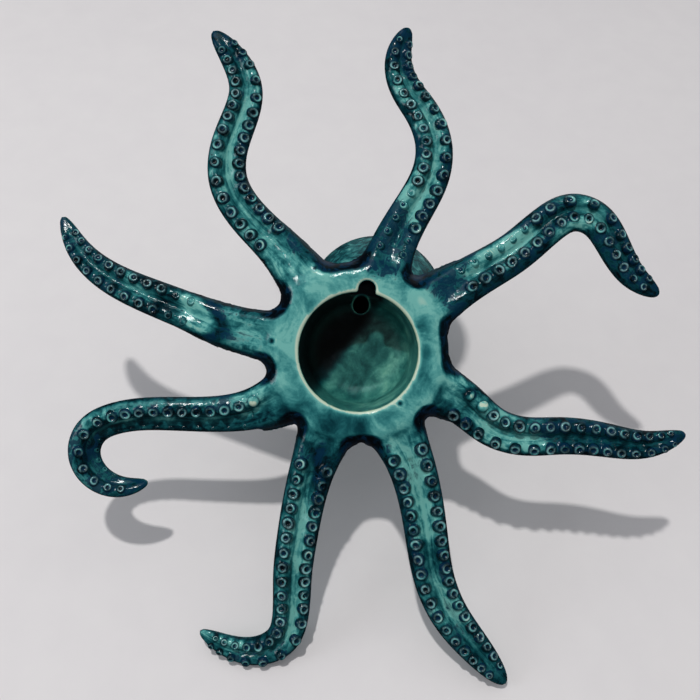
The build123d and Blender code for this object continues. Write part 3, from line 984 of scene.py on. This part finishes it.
def paint_body(points, normals, links, arms, place, seats):
    """Glaze at each point, with painted shade and painted light laid in: how pale, navy and mottled it is,
    and its place along and across its arm.
    """
    x, y, z = points.T
    radius = np.hypot(x, z)
    facing = normals[:, 1]
    number, gap, along, across, _ = place
    near = sucker_nearness(points, number, gap, seats)
    groove = glow(across, GROOVE_WIDTH)
    on_arm = step_up(*ARM_ZONE, radius) * step_up(*ARM_LEVELS, y)
    on_wall = step_up(*WALL_ZONE, radius)
    on_sack = step_up(*SACK_ZONE, mantle_distance(x, y, z)) * step_up(*SACK_LEVELS, y)
    front = step_up(*FRONT_FACING, facing) * np.where(y > FRONT_LEVEL, step_up(*FRONT_ZONE, radius), 1.0)
    outer = np.maximum(front, on_sack)
    steep_shade = np.maximum(step_up(*STEEP_SHADE_FACING, facing), on_wall * step_up(*WALL_SHADE_FACING, facing))
    steep_shade = steep_shade * (1 - front) * (1 - on_sack)

    arm_pale, arm_navy = arm_glaze(number, along, across, arms, groove, near)
    head_paler, head_bluer = head_glaze(x, z)
    pale = toward(HEAD_PALE + head_paler, arm_pale, on_arm)
    navy = toward(head_bluer, arm_navy, on_arm)
    # Darker glaze and painted shade on the sides and walls turned away from the back
    pale = toward(pale, toward(SIDE_GLAZE_AND_SHADE[0], WALL_GLAZE_AND_SHADE[0], on_wall), steep_shade * STEEP_SHADE_SHARE)
    navy = toward(navy, toward(SIDE_GLAZE_AND_SHADE[1], WALL_GLAZE_AND_SHADE[1], on_wall), steep_shade)
    pale = toward(pale, FRONT_GLAZE[0], outer)
    navy = toward(navy, FRONT_GLAZE[1], outer)
    pooled = np.clip(pooling(points, normals, links), POOL_DARKEST * (1 - groove * on_arm), POOL_PALEST)
    pale += pooled * (1 - POOL_FOOT_LOSS * near) + stilt_marks(x, y, z, facing)

    bowl_gap = BOWL.about_y(x, y, z)
    notch_gap = away_from(NOTCH_PLACE, x, z)
    vent_gap = away_from(VENT_PLACE, x, z) - VENT_RADIUS
    in_bowl = (bowl_gap < BOWL_SKIN) & within(BOWL_LEVELS, y) & (radius < OPENING_RADIUS + BOWL_SIDE)
    notch_shade_mask = (notch_gap < POCKET_RADIUS + NOTCH_SKIN) & (radius > BOWL_RADIUS - NOTCH_SIDE)
    # Painted shadow on the bowl's upper left and painted light on its lower right
    pale = np.where(in_bowl, bowl_painted_shadow_and_light(x, z), pale)
    # Painted shade: the notch's pocket and the vent's inside are painted dark
    pale = np.where(notch_shade_mask & within(NOTCH_LEVELS, y), 0.0, pale)
    pale = np.where((vent_gap < VENT_SKIN) & within(VENT_LEVELS, y), VENT_SHADE_PALE, pale)
    edge = bared_lips(points, radius, bowl_gap, notch_gap, vent_gap)
    pale = toward(pale, LIP_PALE, edge)
    navy = np.where(in_bowl, 0.0, navy) * (1 - edge)

    rough = ARM_MOTTLE * on_arm * (1 - GROOVE_CALM * groove)
    mottle = HEAD_MOTTLE + rough + NAVY_MOTTLE * np.clip(navy, 0, 1) + FRONT_MOTTLE * outer
    stroke = on_arm * (1 - edge) * (1 - FOOT_STROKE_LOSS * near)
    return {
        "pale": np.clip(pale, 0, PALEST),
        "navy": np.clip(navy, 0, 1),
        "mottle": np.clip(np.where(in_bowl, BOWL_MOTTLE, mottle * (1 - edge)), 0, 1),
        "stroke": np.where(in_bowl, 0.0, stroke),
        "dull": np.where(in_bowl, 1.0, 0.0),
        "along": along + STROKE_SHIFT * number,
        "across": across * ARM_HALF_WIDTH,
    }


class Nodes:
    """Short way to add and link shader nodes in one material."""

    def __init__(self, tree):
        self.tree = tree

    def add(self, kind, links=None, **settings):
        """New node with its settings, and its inputs linked or set by name or number."""
        node = self.tree.nodes.new(kind)
        for key, value in settings.items():
            setattr(node, key, value)
        for key, value in (links or {}).items():
            socket = node.inputs[key]
            if isinstance(value, bpy.types.NodeSocket):
                self.tree.links.new(value, socket)
            else:
                socket.default_value = value
        return node

    def math(self, operation, first, second=0.0):
        """Output of a math node."""
        return self.add("ShaderNodeMath", {0: first, 1: second}, operation=operation).outputs[0]

    def swing(self, value, noise, share, mask=None):
        """A number with noise added that swings about zero by a share, less where a mask is low."""
        added = self.math("MULTIPLY", self.math("SUBTRACT", noise, 0.5), share)
        if mask is not None:
            added = self.math("MULTIPLY", added, mask)
        return self.math("ADD", value, added)

    def dot(self, first, second):
        """How far two directions agree."""
        node = self.add("ShaderNodeVectorMath", {0: first, 1: second}, operation="DOT_PRODUCT")
        return node.outputs["Value"]

    def attribute(self, name):
        """Number kept at each point of the mesh."""
        return self.add("ShaderNodeAttribute", attribute_name=name).outputs["Fac"]

    def noise(self, place, scale, detail=3.0, roughness=0.55, distortion=0.0):
        """Soft noise from 0 to 1."""
        links = {"Vector": place, "Scale": scale, "Detail": detail, "Roughness": roughness,
                 "Distortion": distortion}
        return self.add("ShaderNodeTexNoise", links).outputs["Fac"]

    def spread(self, value, low, high, to_low, to_high):
        """A number moved from one range to another and held inside it."""
        links = {"Value": value, "From Min": low, "From Max": high, "To Min": to_low, "To Max": to_high}
        return self.add("ShaderNodeMapRange", links).outputs["Result"]

    def ramp(self, value, stops):
        """Colour read from a list of (place, colour)."""
        node = self.add("ShaderNodeValToRGB", {"Fac": value})
        elements = node.color_ramp.elements
        while len(elements) < len(stops):
            elements.new(0.5)
        for element, (place, colour) in zip(elements, stops):
            element.position = place
            element.color = (*colour, 1.0)
        return node.outputs["Color"]

    def mix(self, share, first, second, blend="MIX"):
        """Two colours mixed by a share."""
        node = self.add("ShaderNodeMix", {"Factor": share}, data_type="RGBA", blend_type=blend)
        for socket, value in zip((node.inputs[6], node.inputs[7]), (first, second)):
            if isinstance(value, bpy.types.NodeSocket):
                self.tree.links.new(value, socket)
            else:
                socket.default_value = (*value, 1.0)
        return node.outputs[2]


# Glaze colours from thick and dark to thin and pale
GLAZE_STOPS = [
    (0.00, (0.0004, 0.0022, 0.0045)),
    (0.15, (0.0006, 0.0085, 0.0140)),
    (0.30, (0.0012, 0.0210, 0.0310)),
    (0.42, (0.0026, 0.0450, 0.0580)),
    (0.54, (0.0075, 0.0850, 0.1000)),
    (0.64, (0.0180, 0.1450, 0.1580)),
    (0.74, (0.0430, 0.2350, 0.2420)),
    (0.83, (0.0920, 0.3550, 0.3450)),
    (0.92, (0.1800, 0.5000, 0.4600)),
    (1.00, (0.5800, 0.7200, 0.5800)),
]
NAVY = (0.0014, 0.0230, 0.0580)
# Pale blue laid on the suckers' lips: thin glaze and a painted highlight
FROST_AND_HIGHLIGHT = (0.2600, 0.4700, 0.5000)
BOWL_TINT = (1.0, 0.95, 0.80)
# Tone above which only the bared lips go, where the clay shows cream through the glaze
CREAM_START = 0.91

# Noises in the glaze, as scale, detail, roughness and distortion
CLOUDS = (70.0, 4.0, 0.60, 1.0)
CURDLE = (210.0, 5.0, 0.62, 0.9)
SPECKS = (900.0, 2.0)
BRUSH = (0.36, 4.0, 0.6, 1.2)
BROKEN = (620.0, 3.0, 0.65)
RIPPLE = (300.0, 4.0, 0.6)

# How long brush strokes are drawn, how far each noise swings the tone and the navy, and ranges of a number
# and what they are moved to
STROKE_DRAW = 0.16
STREAK_RANGE = (0.34, 0.66, 0.0, 1.0)
TONE_SWINGS = {"clouds": 0.85, "curdle": 3.2, "streak": 0.30}
NAVY_SWINGS = {"clouds": 1.8, "curdle": 2.6, "streak": 0.50}
RAGGED_RANGE = (0.05, 0.60, 0.30, 1.7)
BLOT_RANGE = (0.34, 0.62, 0.0, 0.92)
BROKEN_RANGE = (0.38, 0.60, 0.0, 1.0)
GLOSS_RANGE = (0.3, 0.7, 0.05, 0.12)
DULL_ROUGHNESS = 0.45
RIPPLE_STRENGTH = 0.30
RIPPLE_HEIGHT = 0.0008
GLAZE_IOR = 1.5


def new_material(name):
    """Empty node material with its output."""
    material = bpy.data.materials.new(name)
    material.use_nodes = True
    material.node_tree.nodes.clear()
    nodes = Nodes(material.node_tree)
    output = nodes.add("ShaderNodeOutputMaterial")
    return material, nodes, output


def glaze_material(name, speckle):
    """Glossy mottled glaze that reads how pale, navy and mottled it is from the mesh."""
    material, nodes, output = new_material(name)
    place = nodes.add("ShaderNodeTexCoord").outputs["Object"]
    pale = nodes.attribute("pale")
    navy = nodes.attribute("navy")
    stroke = nodes.attribute("stroke")
    dull = nodes.attribute("dull")
    drawn = nodes.math("MULTIPLY", nodes.attribute("along"), STROKE_DRAW)
    flow = nodes.add("ShaderNodeCombineXYZ", {0: drawn, 1: nodes.attribute("across"), 2: 0.0}).outputs[0]

    clouds = nodes.noise(place, *CLOUDS)
    curdle = nodes.noise(place, *CURDLE)
    streak = nodes.spread(nodes.noise(flow, *BRUSH), *STREAK_RANGE)
    tone = nodes.swing(pale, clouds, TONE_SWINGS["clouds"])
    tone = nodes.swing(tone, curdle, TONE_SWINGS["curdle"], nodes.attribute("mottle"))
    tone = nodes.swing(tone, streak, TONE_SWINGS["streak"], stroke)
    tone = nodes.swing(tone, nodes.noise(place, *SPECKS), speckle)
    tone = nodes.math("MINIMUM", tone, nodes.math("MAXIMUM", pale, CREAM_START))
    colour = nodes.ramp(tone, GLAZE_STOPS)

    blot = nodes.swing(navy, curdle, NAVY_SWINGS["curdle"], nodes.spread(navy, *RAGGED_RANGE))
    blot = nodes.swing(blot, streak, NAVY_SWINGS["streak"], stroke)
    blot = nodes.swing(blot, clouds, NAVY_SWINGS["clouds"], stroke)
    colour = nodes.mix(nodes.spread(blot, *BLOT_RANGE), colour, NAVY)
    broken = nodes.spread(nodes.noise(place, *BROKEN), *BROKEN_RANGE)
    # Pale-blue frost and painted highlight on the suckers' lips, broken up by noise
    colour = nodes.mix(nodes.math("MULTIPLY", nodes.attribute("frost_and_highlight"), broken), colour, FROST_AND_HIGHLIGHT)
    colour = nodes.mix(dull, colour, BOWL_TINT, "MULTIPLY")

    ripple = {"Strength": RIPPLE_STRENGTH, "Distance": RIPPLE_HEIGHT, "Height": nodes.noise(place, *RIPPLE)}
    bump = nodes.add("ShaderNodeBump", ripple)
    gloss = nodes.spread(curdle, *GLOSS_RANGE)
    gloss = nodes.math("MAXIMUM", gloss, nodes.math("MULTIPLY", dull, DULL_ROUGHNESS))
    links = {"Base Color": colour, "Roughness": gloss, "Normal": bump.outputs["Normal"], "IOR": GLAZE_IOR}
    shader = nodes.add("ShaderNodeBsdfPrincipled", links)
    nodes.tree.links.new(shader.outputs["BSDF"], output.inputs["Surface"])
    return material


# Half outline of a sucker as shares of its diameter, from under the arm's skin over the lip to the
# middle of the dimple: radius, height, how pale the glaze is, how navy
SUCKER_OUTLINE = [
    (0.6, -0.16, 0.3, 0.35), (0.575, 0.0, 0.26, 0.42), (0.54, 0.11, 0.26, 0.42), (0.5, 0.195, 0.3, 0.36),
    (0.455, 0.255, 0.38, 0.25), (0.405, 0.292, 0.5, 0.1), (0.355, 0.305, 0.58, 0.0),
    (0.305, 0.296, 0.58, 0.0), (0.26, 0.262, 0.46, 0.1), (0.215, 0.208, 0.24, 0.35),
    (0.155, 0.165, 0.12, 0.5), (0.085, 0.146, 0.1, 0.5), (0.025, 0.142, 0.1, 0.5),
]
# Rounded button that stands in for a sucker where the glaze has filled it
BUTTON_OUTLINE = [
    (0.56, -0.16, 0.3, 0.2), (0.535, -0.04, 0.4, 0.1), (0.495, 0.05, 0.52, 0.0),
    (0.445, 0.125, 0.62, 0.0), (0.39, 0.18, 0.7, 0.0), (0.335, 0.22, 0.76, 0.0), (0.28, 0.248, 0.8, 0.0),
    (0.225, 0.265, 0.83, 0.0), (0.17, 0.275, 0.84, 0.0), (0.125, 0.28, 0.84, 0.0),
    (0.085, 0.283, 0.84, 0.0), (0.05, 0.284, 0.84, 0.0), (0.02, 0.285, 0.84, 0.0),
]
SUCKER_TURNS = 28
SUCKER_SPREAD = 0.95
SUCKER_MOTTLE = 0.22

# Pale-blue frost on a sucker's lip, partly thin glaze and partly a painted highlight, in diameters from its
# middle
LIP_RADIUS = 0.35
LIP_WIDTH = 0.085

# How far suckers differ by chance, each as (least, most)
SIZE_CHANCE = (0.92, 1.08)
LIFT_CHANCE = (-0.05, 0.02)
TURN_CHANCE = (0, 2 * math.pi)
WOBBLE_CHANCE = (0.01, 0.07)
TILT_CHANCE = (0.02, 0.16)
FADE_CHANCE = (-0.10, 0.08)
# A paler crescent on one side of each lip and the strength of its pale-blue frost: partly painted highlight
UNEVEN_SHEEN_CHANCE = (0.12, 0.40)
BLOOM_AND_SHEEN_CHANCE = (0.35, 0.95)

# Suckers that the glaze has filled, up to a distance along one side of an arm, by (arm, side)
FILLED_START = {(4, 1): 36.0, (7, -1): 30.0}
# Rows that are faint up to a distance, and the share of its size that a sucker keeps there, by (arm, side)
FAINT_ROWS = {
    (2, 1): (50.0, 0.40), (2, -1): (33.0, 0.35), (7, 1): (200.0, 0.14), (3, 1): (66.0, 0.30),
    (8, 1): (62.0, 0.45), (8, -1): (60.0, 0.45),
}
# How pale the skin is that faint suckers take on, and how far they sink into it, in diameters
FAINT_TONE = 0.64
FAINT_SINK = 0.25


def sucker_frames(arm):
    """Middle, sideways, along and outward direction, diameter, distance along and side of each sucker."""
    frames = []
    for distance, side, half, diameter in arm.seats():
        across = unit(arm.at(distance, arm.across))
        up = unit(arm.at(distance, arm.up))
        heading = unit(arm.at(distance, arm.heading))
        splay = math.radians(SUCKER_SPLAY) * side
        outward = up * math.cos(splay) + across * math.sin(splay)
        sideways = np.cross(heading, outward)
        middle = arm.at(distance, arm.centre) + across * (side * arm.row_offset * half)
        middle = middle + up * (RIDGE_HEIGHT * half)
        frames.append((middle, unit(sideways), unit(heading), unit(outward), diameter, distance, side))
    return frames


def row_share(number, side, distance):
    """How much of its size a sucker keeps, less than 1 in the faint part of a row."""
    end, share = FAINT_ROWS.get((number, side), (0.0, 1.0))
    return share if distance < end else 1.0


def sucker_rows(name, number, arm, material, chance):
    """All the suckers of one arm as one piece of separate rings."""
    turns = even_turns(SUCKER_TURNS)
    rings = len(SUCKER_OUTLINE)
    points, faces, pale, navy, frost_and_highlight = [], [], [], [], []
    for middle, sideways, heading, outward, diameter, distance, side in sucker_frames(arm):
        filled = distance < FILLED_START.get((number, side), 0.0)
        faint = row_share(number, side, distance)
        outline = np.array(BUTTON_OUTLINE if filled else SUCKER_OUTLINE)
        size = diameter * SUCKER_SPREAD * chance.uniform(*SIZE_CHANCE) * (0.5 + 0.5 * faint)
        lift = chance.uniform(*LIFT_CHANCE) - FAINT_SINK * (1 - faint)
        sway = chance.uniform(*TURN_CHANCE)
        wobble = 1 + chance.uniform(*WOBBLE_CHANCE) * np.cos(2 * turns + sway)
        tilt = 1 + chance.uniform(*TILT_CHANCE) * np.sin(turns + sway)
        paler, bluer = patch_glaze(number, distance, side * arm.row_offset)
        fade = chance.uniform(*FADE_CHANCE) + 0.5 * paler
        base = len(points) * (rings * SUCKER_TURNS + 1)
        radius = outline[:, 0][:, None] * wobble[None] * size
        height = (outline[:, 1] + lift)[:, None] * size * tilt[None]
        rings_out = lathe_points(middle, radius, height, turns, sideways, heading, outward)
        last = middle + outward * (outline[-1, 1] + lift) * size
        points.append(np.vstack([rings_out, last]))
        # Each lip gets a paler crescent on one side and a pale-blue frost: partly thin glaze, partly painted
        # highlight
        uneven_sheen = chance.uniform(*UNEVEN_SHEEN_CHANCE) * np.cos(turns - chance.uniform(*TURN_CHANCE))
        bloom_and_sheen = chance.uniform(*BLOOM_AND_SHEEN_CHANCE) + 0.9 * uneven_sheen + 0.6 * paler
        crest = glow(outline[:, 0] - LIP_RADIUS, LIP_WIDTH) * (0.0 if filled else faint)
        frost_and_highlight_rings = np.clip(crest[:, None] * bloom_and_sheen[None], 0, 1)
        frost_and_highlight.append(np.append(frost_and_highlight_rings.ravel(), 0.0))
        skin = toward(outline[:, 2], FAINT_TONE, 1 - faint)
        tone = skin[:, None] + (fade + uneven_sheen * faint)[None] * (skin > 0.4)[:, None]
        blue = np.clip(outline[:, 3] + 0.4 * bluer * (outline[:, 3] > 0), 0, 1) * faint
        pale.append(np.append(tone.ravel(), tone[-1, 0]))
        navy.append(np.append(np.repeat(blue, SUCKER_TURNS), blue[-1]))
        faces.extend(lathe_faces(rings, SUCKER_TURNS, base))
    points = np.vstack(points)
    attributes = {
        "pale": np.clip(np.concatenate(pale), 0, 1),
        "navy": np.concatenate(navy),
        "frost_and_highlight": np.concatenate(frost_and_highlight),
        "mottle": np.full(len(points), SUCKER_MOTTLE),
    }
    return mesh_object(name, points, faces, attributes, material)


# Eyes: sides of the turned form, rows of the lid and the ball, pupil as a share of the ball, and how pale
# each part is
EYE_TURNS = 48
LID_ROWS = 8
BALL_ROWS = 9
BALL_SPAN = (0.04, 0.97)
PUPIL_SHARE = 0.55
PUPIL_PALE = 0.04
BALL_PALE = 0.70
LID_PALE = (0.42, 0.46)
EYE_MOTTLE = 0.12
# Foot of the lid, as how far outside it, height, how pale and how navy
LID_FOOT = [(1.2, -4.5, 0.30, 0.5), (0.3, -1.6, 0.34, 0.4)]


def eye_piece(name, side, material):
    """One eyeball in its raised lid, on the side of the neck."""
    turn = math.radians(EYE_TURN) * side
    outward = MANTLE_UP * math.cos(turn) - MANTLE_SIDE * math.sin(turn)
    sideways = unit(np.cross(MANTLE_FORWARD, outward))
    seat = SACK_MIDDLE - MANTLE_FORWARD * NECK_BEHIND + outward * (NECK_RADIUS + EYE_STAND)
    lid_middle = (EYELID_RADIUS + EYE_RADIUS) / 2
    lid_half = (EYELID_RADIUS - EYE_RADIUS) / 2
    outline = [(EYELID_RADIUS + out, *rest) for out, *rest in LID_FOOT]
    for angle in np.linspace(0, math.pi, LID_ROWS):
        rise = math.sin(angle)
        pale = LID_PALE[0] + LID_PALE[1] * rise
        outline.append((lid_middle + lid_half * math.cos(angle), EYELID_HEIGHT * rise, pale, 0.0))
    for angle in np.linspace(*BALL_SPAN, BALL_ROWS) * math.pi / 2:
        reach = EYE_RADIUS * math.cos(angle)
        pale = PUPIL_PALE if reach < EYE_RADIUS * PUPIL_SHARE else BALL_PALE
        outline.append((reach, EYE_RISE * math.sin(angle), pale, 0.0))
    outline = np.array(outline)
    turns = even_turns(EYE_TURNS)
    radius, height = outline[:, 0][:, None], outline[:, 1][:, None]
    points = lathe_points(seat, radius, height, turns, sideways, MANTLE_FORWARD, outward)
    points = np.vstack([points, seat + outward * EYE_RISE])
    faces = lathe_faces(len(outline), EYE_TURNS)
    pale = np.append(np.repeat(outline[:, 2], EYE_TURNS), outline[-1, 2])
    navy = np.append(np.repeat(outline[:, 3], EYE_TURNS), 0.0)
    attributes = {"pale": pale, "navy": navy, "mottle": np.full(len(points), EYE_MOTTLE)}
    return mesh_object(name, points, faces, attributes, material)


# Table that the figurine lies face down on: which way it faces, its size, its noises and its colours
TABLE_NORMAL = unit(np.array([-0.058, 0.808, 0.587]))
TABLE_SIZE = 4000.0
TABLE_CLOUD = (3.0, 3.0)
TABLE_GRAIN = (60.0, 2.0)
GRAIN_SHARE = 0.3
TABLE_STOPS = [(0.3, (0.735, 0.720, 0.745)), (0.7, (0.790, 0.778, 0.795))]

# Lamps, in metres: name, place, size, power, colour, and whether the glaze mirrors them
LAMP_PLACE = (0.207, 1.287, 0.979)
LAMPS = [
    ("ceiling_lamp", LAMP_PLACE, 0.06, 13.4, (1.0, 0.97, 0.93), False),
    ("side_window", (1.1, 0.7, 0.2), 0.5, 2.0, (0.92, 0.96, 1.0), True),
    ("front_fill", (-0.4, -1.3, 0.9), 0.7, 13.0, (1.0, 0.98, 0.96), False),
]

# World: light from under to over the table, the room that the glaze mirrors, and the background
LIGHT_STOPS = [(0.0, (0.24, 0.24, 0.25)), (0.5, (0.15, 0.15, 0.155)), (1.0, (0.50, 0.50, 0.51))]
ROOM_STOPS = [(0.0, (0.015, 0.015, 0.017)), (0.5, (0.016, 0.017, 0.02)), (1.0, (0.035, 0.038, 0.04))]
BACKGROUND = (0.74, 0.73, 0.75)
# Soft box, window and ceiling lamp in that room: the way to each, the cosines at which its glow starts and is
# whole, its strength and its colour
MIRRORED = [
    ((-0.30, -0.55, 0.78), 0.80, 0.90, 0.12, (1.0, 1.0, 1.0)),
    ((0.25, 0.62, 0.744), 0.92, 0.98, 0.70, (0.85, 0.95, 1.0)),
    (tuple(unit(np.array(LAMP_PLACE))), 0.9960, 0.9985, 1.0, (45.0, 45.0, 44.0)),
]

# Camera, in metres and pixels
CAMERA_PLACE = (0.0034, 0.348, 0.0008)
CAMERA_NEAREST = 0.01
FOCAL_PIXELS = 850.0
IMAGE_PIXELS = 700.0
SENSOR_WIDTH = 36.0


def table_material():
    """Pale table top, shown only to the camera from its upper side."""
    material, nodes, output = new_material("table")
    place = nodes.add("ShaderNodeTexCoord").outputs["Object"]
    cloud = nodes.math("MULTIPLY", nodes.noise(place, *TABLE_CLOUD), 1 - GRAIN_SHARE)
    grain = nodes.math("MULTIPLY", nodes.noise(place, *TABLE_GRAIN), GRAIN_SHARE)
    colour = nodes.ramp(nodes.math("ADD", cloud, grain), TABLE_STOPS)
    board = nodes.add("ShaderNodeBsdfDiffuse", {"Color": colour})
    clear = nodes.add("ShaderNodeBsdfTransparent")
    seen = nodes.add("ShaderNodeLightPath").outputs["Is Camera Ray"]
    behind = nodes.add("ShaderNodeNewGeometry").outputs["Backfacing"]
    share = nodes.math("MULTIPLY", seen, nodes.math("SUBTRACT", 1.0, behind))
    mixed = nodes.add("ShaderNodeMixShader", {0: share, 1: clear.outputs[0], 2: board.outputs[0]})
    nodes.tree.links.new(mixed.outputs[0], output.inputs["Surface"])
    return material


def make_table(points):
    """Plane that touches the lowest clay."""
    level = (points @ TABLE_NORMAL).min()
    side = unit(np.cross((0.0, 0.0, 1.0), TABLE_NORMAL))
    other = np.cross(TABLE_NORMAL, side)
    signs = ((-1, -1), (1, -1), (1, 1), (-1, 1))
    corners = [TABLE_NORMAL * level + TABLE_SIZE / 2 * (a * side + b * other) for a, b in signs]
    table = mesh_object("table", np.array(corners), [np.array([[0, 1, 2, 3]])], {}, table_material())


def area_lamp(name, place, size, power, colour, mirrored):
    """Square soft lamp that points at the figurine, seen in the glaze or not."""
    data = bpy.data.lights.new(name, "AREA")
    data.size = size
    data.energy = power
    data.color = colour
    lamp = bpy.data.objects.new(name, data)
    bpy.context.scene.collection.objects.link(lamp)
    lamp.location = place
    lamp.rotation_mode = "QUATERNION"
    lamp.rotation_quaternion = (-mathutils.Vector(place)).to_track_quat("-Z", "Y")
    lamp.visible_glossy = mirrored


def make_world():
    """Soft light that is brightest from over the table, a dim room in the glaze, and a pale background.

    The room that the glaze mirrors has a soft box, a window and the ceiling lamp's bright spot.
    """
    world = bpy.data.worlds.new("studio")
    bpy.context.scene.world = world
    world.use_nodes = True
    world.node_tree.nodes.clear()
    nodes = Nodes(world.node_tree)
    ray = nodes.add("ShaderNodeTexCoord").outputs["Generated"]
    rise = nodes.spread(nodes.dot(ray, tuple(TABLE_NORMAL)), -1, 1, 0, 1)
    room = nodes.ramp(rise, ROOM_STOPS)
    for way, start, whole, strength, colour in MIRRORED:
        room = nodes.mix(nodes.spread(nodes.dot(ray, way), start, whole, 0.0, strength), room, colour)
    path = nodes.add("ShaderNodeLightPath")
    colour = nodes.mix(path.outputs["Is Glossy Ray"], nodes.ramp(rise, LIGHT_STOPS), room)
    colour = nodes.mix(path.outputs["Is Camera Ray"], colour, BACKGROUND)
    background = nodes.add("ShaderNodeBackground", {"Color": colour, "Strength": 1.0})
    output = nodes.add("ShaderNodeOutputWorld")
    nodes.tree.links.new(background.outputs[0], output.inputs["Surface"])


def make_camera():
    """Camera square to the back of the figurine, as in the photograph."""
    data = bpy.data.cameras.new("camera")
    data.sensor_width = SENSOR_WIDTH
    data.lens = FOCAL_PIXELS / IMAGE_PIXELS * SENSOR_WIDTH
    data.clip_start = CAMERA_NEAREST
    camera = bpy.data.objects.new("camera", data)
    camera.location = CAMERA_PLACE
    camera.rotation_euler = (math.pi / 2, 0, math.pi)
    bpy.context.scene.collection.objects.link(camera)
    bpy.context.scene.camera = camera


chance = np.random.default_rng(SEED)
arms = [Arm(*settings) for settings in ARMS]
points, quads, links = clay_body(arms)
normals = point_normals(points, quads)
seats = {}
for number, arm in enumerate(arms, start=1):
    frames = sucker_frames(arm)
    sizes = [row[4] * row_share(number, row[6], row[5]) for row in frames]
    seats[number] = np.array([row[0] for row in frames]), np.array(sizes)
place = nearest_arm(points, arms)
swelling = SKIN_SWELL * sucker_nearness(points, place[0], place[1], seats)
points = points + normals * swelling[:, None]
normals = point_normals(points, quads)
body_glaze = glaze_material("body_glaze", speckle=0.10)
sucker_glaze = glaze_material("sucker_glaze", speckle=0.16)
eye_glaze = glaze_material("eye_glaze", speckle=0.05)

painted = paint_body(points, normals, links, arms, place, seats)
body = mesh_object("glazed_body", points, [quads], painted, body_glaze)
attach(body, "root")
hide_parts("head_shell", "mantle_shell", *[f"arm_{number}" for number in range(1, 9)])

for number, arm in enumerate(arms, start=1):
    rows = sucker_rows(f"sucker_rows_{number}", number, arm, sucker_glaze, chance)
    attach(rows, "root")
    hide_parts(f"suckers_{number}")

for name, node, side in (("left_eye", "eye_left", 1), ("right_eye", "eye_right", -1)):
    eye = eye_piece(name, side, eye_glaze)
    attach(eye, "root")
    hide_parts(node)

make_table(points)
make_world()
for settings in LAMPS:
    area_lamp(*settings)
make_camera()
bpy.context.scene.view_settings.view_transform = "Standard"
